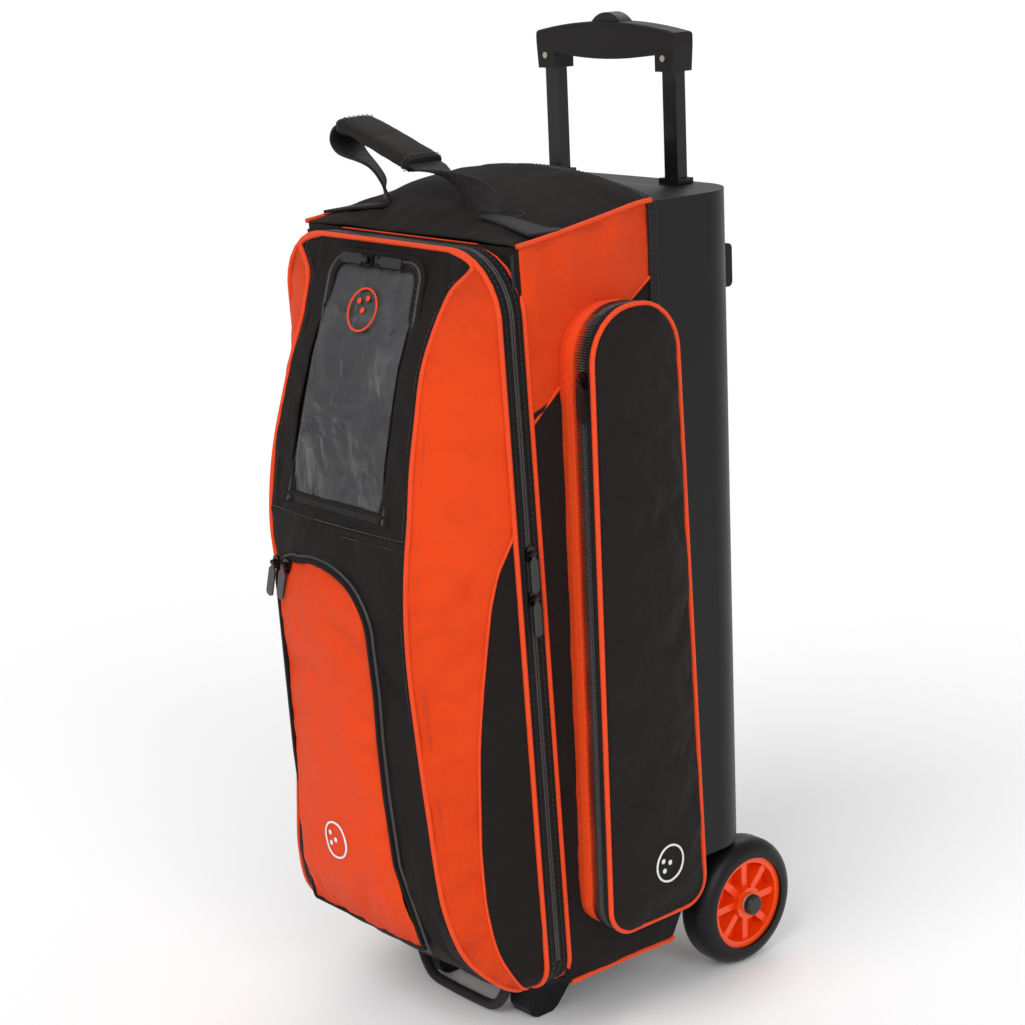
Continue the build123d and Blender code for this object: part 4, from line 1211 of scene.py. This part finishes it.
class BAG_OT_body(BagOperator, bpy.types.Operator):
    """Sews the side panels, the domed top and the binding along the rear shell"""

    bl_idname = "bag.body"
    bl_label = "Sides and top"

    def execute(self, context):
        panels = []

        def rear(z):
            return 146.0 if z > 137 else min(150 + (z - BASE) * 37 / 68, ARCH_REAR)

        def side_panel(word, side):
            def upper(u, w):
                y = mix(seam_y(660) + GUSSET, 146, u)
                low = between(SIDE_SEAM, y)
                z = mix(low, side_top(y), w)
                y = mix(seam_y(z) + GUSSET, 146, u)
                return (side * (HALF + 0.4), y, z)

            def lower(u, w):
                y = mix(seam_y(300) + GUSSET, 146, u)
                z = mix(BASE, between(SIDE_SEAM, y), w ** 1.1)
                y = mix(seam_y(z) + GUSSET, rear(z), u)
                return (side * (HALF + 0.3), y, z)

            bm = faced(grid(30, 34, upper, (0.15, 0.15)), (side, 0, 0))
            rumpled(bm, 1.6, 50, 5.0 * side, (1, 1.2, 1))
            panels.append(sewn("side_upper_" + word, bm, FINISHES["orange_cloth"], "bag_body",
                               ["side_wall_" + word], 2.6, 1))
            bm = faced(grid(26, 110, lower, (0.15, 0.55)), (side, 0, 0))
            rumpled(bm, 1.0, 50, 9.0 * side)
            panels.append(sewn("side_lower_" + word, bm, FINISHES["black_cloth"], "bag_body",
                               [], 2.6, 1))
            seam = [(side * (HALF + 0.8), y, between(SIDE_SEAM, y)) for y in range(-2, 147, 12)]
            sewn("side_seam_" + word, swept(Route(seam, (side, 0, 0), 3), circle(1.6, 8)),
                 FINISHES["orange_piping"], "bag_body", [])
            top = [(side * (HALF + 0.2), y, side_top(y) + 1.6) for y in range(-9, 148, 13)]
            sewn("top_piping_" + word, piping(Route(top, (side, 0, 1), 3)),
                 FINISHES["orange_piping"], "bag_body", [])
            foot = [(side * (HALF - 0.5), y, z) for y, z in ((20, 66), (60, 66), (100, 65.8),
                                                             (130, 65), (146, 64), (150, 67))]
            sewn("foot_piping_" + word, piping(Route(foot, (side, 0, -0.3), 3)),
                 FINISHES["orange_piping"], "bag_body", [])
            thread = [(side * (HALF + 0.4), y, side_top(y) - 5) for y in range(10, 140, 13)]
            sewn("side_thread_" + word, seam_thread(thread, (side, 0, 0), 0, 0.9),
                 FINISHES["orange_thread"], "bag_body", [])

        both(side_panel)

        def dome(u, w):
            x, y = mix(-HALF, HALF, u), mix(-8.5, 147, w)
            return (x, y, top_z(x, y) - (0.8 if abs(x) > 140 else 0.0))

        bm = faced(grid(56, 30, dome, (0.3, 0.15)), (0, 0, 1))
        rumpled(bm, 1.5, 60, 17.0)
        panels.append(sewn("top_dome", bm, FINISHES["top_cloth"], "bag_body", ["top_panel"],
                           2.6, 1))
        settled(panels, 0.8, 0.008, 2.5)
        half = [(148, 133), (148, 300), (148, 450), (148, 600), (148, 700), (148, 748),
                (146.5, 760), (139, 765.4), (110, 771.8), (70, 778.9), (35, 782.9), (0, 784.2)]
        outline = half + [(-x, z) for x, z in reversed(half[:-1])]

        def out(place):
            if place.z < 745:
                return Vector((place.x, 0, 0))
            if abs(place.x) > 138:
                return Vector((1.0 if place.x > 0 else -1.0, 0, 0.9))
            return Vector((place.x * 0.002, 0, 1))

        run = [(x, 146.5, z) for x, z in outline]
        band = swept(Route(run, out, 3.0), slab(-5.5, 5.5, -1.0, 1.5))
        sewn("shell_binding", band, FINISHES["binding"], "bag_body", [])
        sewn("shell_binding_thread", joined(*[seam_thread(run, out, shift, 1.75)
                                              for shift in (-4.0, 4.0)]),
             FINISHES["black_thread"], "bag_body", [])
        return {"FINISHED"}


class BAG_OT_side_pockets(BagOperator, bpy.types.Operator):
    """Sews the zipped side pockets: orange band, zipper, padded black face"""

    bl_idname = "bag.side_pockets"
    bl_label = "Side pockets"

    def execute(self, context):
        middle = Vector((0, 88, 400))

        def out(place):
            y, z = place.y, place.z
            down = min(z - 145, 0.0) if z < 300 else max(z - 640, 0.0)
            rear_edge = 150 - (z - 120) * 20 / 566
            across = min(y - 56, 0.0) if y < middle.y else max(y - rear_edge + 30, 0.0)
            if 150 < z < 636:
                down = 0.0
            if abs(down) + abs(across) < 1e-6:
                across = y - middle.y
            return Vector((0, across, down))

        def line(inset, x):
            return [(x, p.x, p.y) for p in shrunk(POCKET, inset)]

        def add(name, bm, finish, body, side, replaces=(), thick=0.0, rounds=0):
            if side < 0:
                flipped(bm)
            return sewn(name, bm, FINISHES[finish], body, replaces, thick, rounds)

        faces = []
        for word, side in (("right", 1), ("left", -1)):
            lid = "side_lid_" + word
            ring = Route(line(0.8, HALF), out, 4.0, True, False)
            bm = swept(ring, slab(-29, 0, -2.0, 0.3))
            add("pocket_side_" + word, rumpled(bm, 0.7, 40, 3.0), "orange_band", "bag_body",
                side, ["pocket_gusset_" + word])
            add("pocket_stripe_" + word, swept(ring, slab(-19, -8, 0.2, 1.2)), "orange_piping",
                "bag_body", side, ())
            add("pocket_tape_" + word, swept(ring, slab(-32.8, -28.5, -2.0, 0.6)), "tape",
                "bag_body", side, ())
            fine = Route(line(0.6, HALF), out, 0.75, True, False)
            add("pocket_coil_body_" + word, swept(fine, circle(1.35, 6, -31.3, 0.9), ribs()),
                "coil", "bag_body", side, ())
            add("pocket_coil_lid_" + word, swept(fine, circle(1.35, 6, -34.4, 0.9), ribs()),
                "coil", lid, side, ())
            add("lid_tape_" + word, swept(ring, slab(-42.5, -33.4, -2.0, 0.6)), "tape", lid, side,
                ())
            add("lid_piping_" + word, swept(Route(line(0.2, HALF), out, 3.0, True, False),
                                            circle(2.4, 10, -43.6, 0.2)), "orange_piping", lid,
                side, ())
            thread = [(HALF + 26.5, p.x, p.y) for p in shrunk(POCKET, 0.4)]
            add("pocket_thread_" + word, seam_thread(thread, out, 0, 0.8, True, False),
                "orange_thread", "bag_body", side, ())
            outline = shrunk(POCKET, 1.6)
            low = min(p.y for p in outline) + 0.2
            high = max(p.y for p in outline) - 0.2

            def padded(u, w):
                z = mix(low, high, (1 - math.cos(math.pi * w)) / 2)
                front, back = span(outline, z)
                y = mix(front, back, u)
                swell = (math.sin(math.pi * u) * math.sin(math.pi * w)) ** 0.35 * 6.0
                return (HALF + 44.4 + swell, y, z)

            bm = faced(grid(34, 130, padded, (0.12, 0.57)), (1, 0, 0))
            rumpled(bm, 1.6, 46, 23.0, (1, 1.3, 0.8))
            face = add("lid_face_" + word, bm, "lid_cloth", lid, side, ["pocket_lid_" + word],
                       2.4, 1)
            faces.append(face)
        settled(faces, 2.0, 0.015, 3.5)
        for side, lid, face in zip((1, -1), ("side_lid_right", "side_lid_left"), faces):
            ball_badge((side * (HALF + 51.5), 96, 175), (side, 0, 0), (0, 0.1, 1), 17, lid,
                       "lid_badge_" + lid[9:], FINISHES["white_thread"], face)
        return {"FINISHED"}


HANDLE_LIFT = 765.5
HANDLE = [(-80, -12), (-83, 2), (-94, 20), (-130, 37), (-138, 52), (-122, 62), (-72, 48),
          (-22, 31), (12, 19), (42, 7), (66, -4), (82, -13)]


class BAG_OT_handles(BagOperator, bpy.types.Operator):
    """Sews the carry handle, its padded wrap, its anchors and the strap under the front"""

    bl_idname = "bag.handles"
    bl_label = "Handles"

    def execute(self, context):
        points = [(x, 35, z + HANDLE_LIFT) for x, z in HANDLE]
        centre = Vector((-26, 35, 772))

        def out(place):
            return place - centre

        route = Route(points, out, 2.0)

        def turn(share):
            if share < 0.26:
                return 1.25 * (1 - share / 0.26) ** 1.3
            if share > 0.68:
                return -2.7 * ((share - 0.68) / 0.32) ** 1.1
            return 0.0

        def shape(index, share):
            ends = min(share / 0.1, (1 - share) / 0.12, 1.0)
            return 0.62 + 0.38 * max(ends, 0.0), 0.0

        strap = swept(route, slab(-18, 18, -1.5, 1.5), shape, turn)
        sewn("carry_strap", strap, FINISHES["webbing"], "carry_loop", ["carry_handle"])
        total = len(route.places)
        part = route.places[int(total * 0.335):int(total * 0.66)]
        wrap_route = Route(part, out, 2.0)
        section = [(21 * math.copysign(abs(math.cos(t)) ** 0.55, math.cos(t)),
                    7.4 * math.copysign(abs(math.sin(t)) ** 0.7, math.sin(t)))
                   for t in (math.tau * k / 24 for k in range(24))]

        def wrap_shape(index, share):
            ends = min(share, 1 - share)
            return (1.0 if ends > 0.05 else 0.94 + ends), 0.0

        wrap = swept(wrap_route, section, wrap_shape)
        rumpled(wrap, 0.9, 24, 2.0)
        wrap_piece = sewn("carry_wrap", wrap, FINISHES["sleeve"], "carry_loop", ["carry_sleeve"],
                          0, 1)
        ends = []
        for k in (3, len(wrap_route.places) - 4):
            place, (run, outward, across) = wrap_route.places[k], wrap_route.frames[k]
            ring = [place + across * a * 1.03 + outward * b * 1.08 for a, b in section]
            ends.append(seam_thread(ring, lambda p, c=place: p - c, 0, 0.6, True))
        sewn("carry_wrap_thread", joined(*ends), FINISHES["black_thread"], "carry_loop", [])

        def anchor(word, side):
            run = [(side * x, y, top_z(x, y) + 0.2) for x, y in ((70, 35), (84, 34), (104, 32),
                                                                (126, 29), (146, 26))]
            strip = swept(Route(run, (0, 0, 1), 2.0), slab(-18, 18, -1.0, 1.9))
            sewn("handle_anchor_" + word, strip, FINISHES["webbing"], "bag_body", [])
            box = [(side * x, y, top_z(x, y) + 0.4) for x, y in (
                (74, 22), (74, 48), (98, 46), (98, 20))]
            sewn("anchor_thread_" + word, seam_thread(box, (0, 0, 1), 0, 2.3, True, False),
                 FINISHES["black_thread"], "bag_body", [])

        both(anchor)
        points = [(-78, 11, 60), (-70, 11, 48), (-58, 11, 24), (-44, 11, 10), (-20, 11, 7.6),
                  (20, 11, 7.6), (44, 11, 10), (58, 11, 24), (70, 11, 48), (78, 11, 60)]
        loop = swept(Route(points, (0, -1, 0), 2.0),
                     [(a * 1.0, b) for a, b in circle(5.0, 14)])
        sewn("front_strap", rumpled(loop, 0.4, 14, 6.0), FINISHES["webbing"], "grab_loop",
             ["grab_handle"])
        return {"FINISHED"}


def softened(name, nodes, finish, body, voxel=4.0):
    """Padded copy of plain solids, with its edges rounded as foam under cloth is."""
    bm = bmesh.new()
    for node in nodes:
        bm.from_mesh(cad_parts[node].data)
    bmesh.ops.remove_doubles(bm, verts=bm.verts, dist=1e-5)
    mesh = bpy.data.meshes.new(name)
    bm.to_mesh(mesh)
    bm.free()
    piece = bpy.data.objects.new(name, mesh)
    bpy.context.scene.collection.objects.link(piece)
    remesh = piece.modifiers.new("even", "REMESH")
    remesh.mode = "VOXEL"
    remesh.voxel_size = voxel * MM
    relax = piece.modifiers.new("ease", "SMOOTH")
    relax.factor = 0.5
    relax.iterations = 6
    dg = bpy.context.evaluated_depsgraph_get()
    soft = bpy.data.meshes.new_from_object(piece.evaluated_get(dg))
    bpy.data.objects.remove(piece)
    made = bmesh.new()
    made.from_mesh(soft)
    made.loops.layers.uv.new("cloth")
    rumpled(made, 0.8, 30, 4.0)
    piece = sewn(name, made, FINISHES[finish], body, nodes)
    return piece


class BAG_OT_inside(BagOperator, bpy.types.Operator):
    """Pads the ball shelves and the ball seats inside the bag"""

    bl_idname = "bag.inside"
    bl_label = "Inside"

    def execute(self, context):
        softened("ball_shelf_pads", ["ball_shelves"], "lining", "bag_body", 2.5)
        softened("ball_seats", ["ball_rings"], "foam", "bag_body", 4.0)
        for side, word in ((1, "right"), (-1, "left")):
            def lining(u, w):
                z = mix(BASE + 14, SHELL_TOP - 26, w)
                y = mix(seam_y(z) + 8, SHELL_FRONT - 2, u)
                return (side * (HALF - LINING_GAP), y, z)

            bm = faced(grid(16, 70, lining, (0.15, 0.68)), (-side, 0, 0))
            rumpled(bm, 0.5, 60, 7.0)
            sewn("side_lining_" + word, bm, FINISHES["lining"], "bag_body", [], 0.6)
        return {"FINISHED"}


RIGID = {
    "back_shell": "shell", "outer_tubes": "tube", "base_tray": "base", "rear_liner": "lining",
    "rear_bumpers": "bumper", "front_feet": "base", "axle_block": "base", "axle": "steel",
    "axle_caps": "cap", "tyre_right": "tyre", "tyre_left": "tyre", "hub_right": "hub",
    "hub_left": "hub", "wheel_bush_right": "nylon", "wheel_bush_left": "nylon",
    "inner_tubes": "tube", "grip_lower": "grip", "grip_upper": "grip", "grip_rivets": "rivet",
    "push_button": "button", "release_bar": "steel", "catch_pin_right": "steel",
    "catch_pin_left": "steel", "shoe_net": "net", "window_tray": "lining",
}


class BAG_OT_hardware(BagOperator, bpy.types.Operator):
    """Gives the moulded, metal and rubber pieces their finishes"""

    bl_idname = "bag.hardware"
    bl_label = "Hardware finishes"

    def execute(self, context):
        for name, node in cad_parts.items():
            finish = RIGID.get(name)
            if name.startswith("slider_"):
                finish = "slider"
            if name.startswith("tab_"):
                finish = "pull"
            if finish is None:
                continue
            node.data.materials.clear()
            node.data.materials.append(FINISHES[finish])
        return {"FINISHED"}


class BAG_OT_stage(BagOperator, bpy.types.Operator):
    """Sets the pale floor, the soft lights and the camera"""

    bl_idname = "bag.stage"
    bl_label = "Stage"

    def execute(self, context):
        stage = context.scene.bag_stage
        bm = bmesh.new()
        bmesh.ops.create_grid(bm, x_segments=4, y_segments=4, size=30)
        mesh = bpy.data.meshes.new("floor")
        bm.to_mesh(mesh)
        bm.free()
        floor = bpy.data.objects.new("floor", mesh)
        context.scene.collection.objects.link(floor)
        floor.location.z = -0.0004
        board = Board("pale_floor")
        mesh.materials.append(board.finish({"Base Color": (0.93, 0.93, 0.93), "Roughness": 0.9,
                                            "Specular IOR Level": 0.1}))
        world = bpy.data.worlds.new("studio")
        world.use_nodes = True
        tree = world.node_tree
        glow = tree.nodes["Background"]
        glow.inputs["Color"].default_value = (1, 1, 1, 1)
        seen = tree.nodes.new("ShaderNodeLightPath")
        level = tree.nodes.new("ShaderNodeMapRange")
        level.inputs["To Min"].default_value = 0.5 * stage.light
        level.inputs["To Max"].default_value = 1.0
        tree.links.new(seen.outputs["Is Camera Ray"], level.inputs["Value"])
        tree.links.new(level.outputs["Result"], glow.inputs["Strength"])
        context.scene.world = world
        context.scene.view_settings.view_transform = "Standard"
        suns = (("key", (0.2, -0.85, 0.85), 1.5), ("side", (0.95, -0.35, 0.55), 1.15),
                ("back", (-0.5, 0.8, 0.9), 0.5))
        for name, way, power in suns:
            data = bpy.data.lights.new(name, "SUN")
            data.angle = math.radians(38)
            data.energy = power * stage.light
            light = bpy.data.objects.new(name, data)
            light.rotation_euler = Vector(way).to_track_quat("Z", "Y").to_euler()
            context.scene.collection.objects.link(light)
        azimuth, rise, roll = (math.radians(x) for x in (49.61, 15.03, -2.583))
        back = Vector((math.sin(azimuth) * math.cos(rise), -math.cos(azimuth) * math.cos(rise),
                       math.sin(rise)))
        right = Vector((math.cos(azimuth), math.sin(azimuth), 0))
        up = back.cross(right)
        right, up = (right * math.cos(roll) + up * math.sin(roll),
                     up * math.cos(roll) - right * math.sin(roll))
        data = bpy.data.cameras.new("camera")
        data.lens = stage.lens
        camera = bpy.data.objects.new("camera", data)
        matrix = Matrix((right, up, back)).transposed().to_4x4()
        matrix.translation = at(1563.9, -1231.7, 1018.6)
        camera.matrix_world = matrix
        context.scene.collection.objects.link(camera)
        context.scene.camera = camera
        return {"FINISHED"}


class BAG_PT_panel(bpy.types.Panel):
    """Lists the steps that make the bag"""

    bl_idname = "BAG_PT_panel"
    bl_label = "Rolling Bag"
    bl_space_type = "VIEW_3D"
    bl_region_type = "UI"
    bl_category = "Bag"

    def draw(self, context):
        for group in (context.scene.bag_look, context.scene.bag_sizes, context.scene.bag_stage):
            for key in group.bl_rna.properties.keys():
                if key not in ("rna_type", "name"):
                    self.layout.prop(group, key)
        for step in STEPS:
            self.layout.operator(step.bl_idname)


STEPS = (BAG_OT_stage, BAG_OT_hardware, BAG_OT_door, BAG_OT_main_zipper, BAG_OT_window,
         BAG_OT_flap, BAG_OT_body, BAG_OT_side_pockets, BAG_OT_handles, BAG_OT_inside)
CLASSES = (BagLook, BagSizes, StageSizes, *STEPS, BAG_PT_panel)


def register():
    """Adds the classes and the panel values."""
    for made in CLASSES:
        bpy.utils.register_class(made)
    bpy.types.Scene.bag_look = bpy.props.PointerProperty(type=BagLook)
    bpy.types.Scene.bag_sizes = bpy.props.PointerProperty(type=BagSizes)
    bpy.types.Scene.bag_stage = bpy.props.PointerProperty(type=StageSizes)


def unregister():
    """Removes the classes and the panel values."""
    del bpy.types.Scene.bag_look
    del bpy.types.Scene.bag_sizes
    del bpy.types.Scene.bag_stage
    for made in reversed(CLASSES):
        bpy.utils.unregister_class(made)


def main():
    """Runs every step in order."""
    register()
    make_finishes(bpy.context.scene.bag_look)
    for step in STEPS:
        group, name = step.bl_idname.split(".")
        getattr(getattr(bpy.ops, group), name)()


if __name__ == "__main__":
    main()
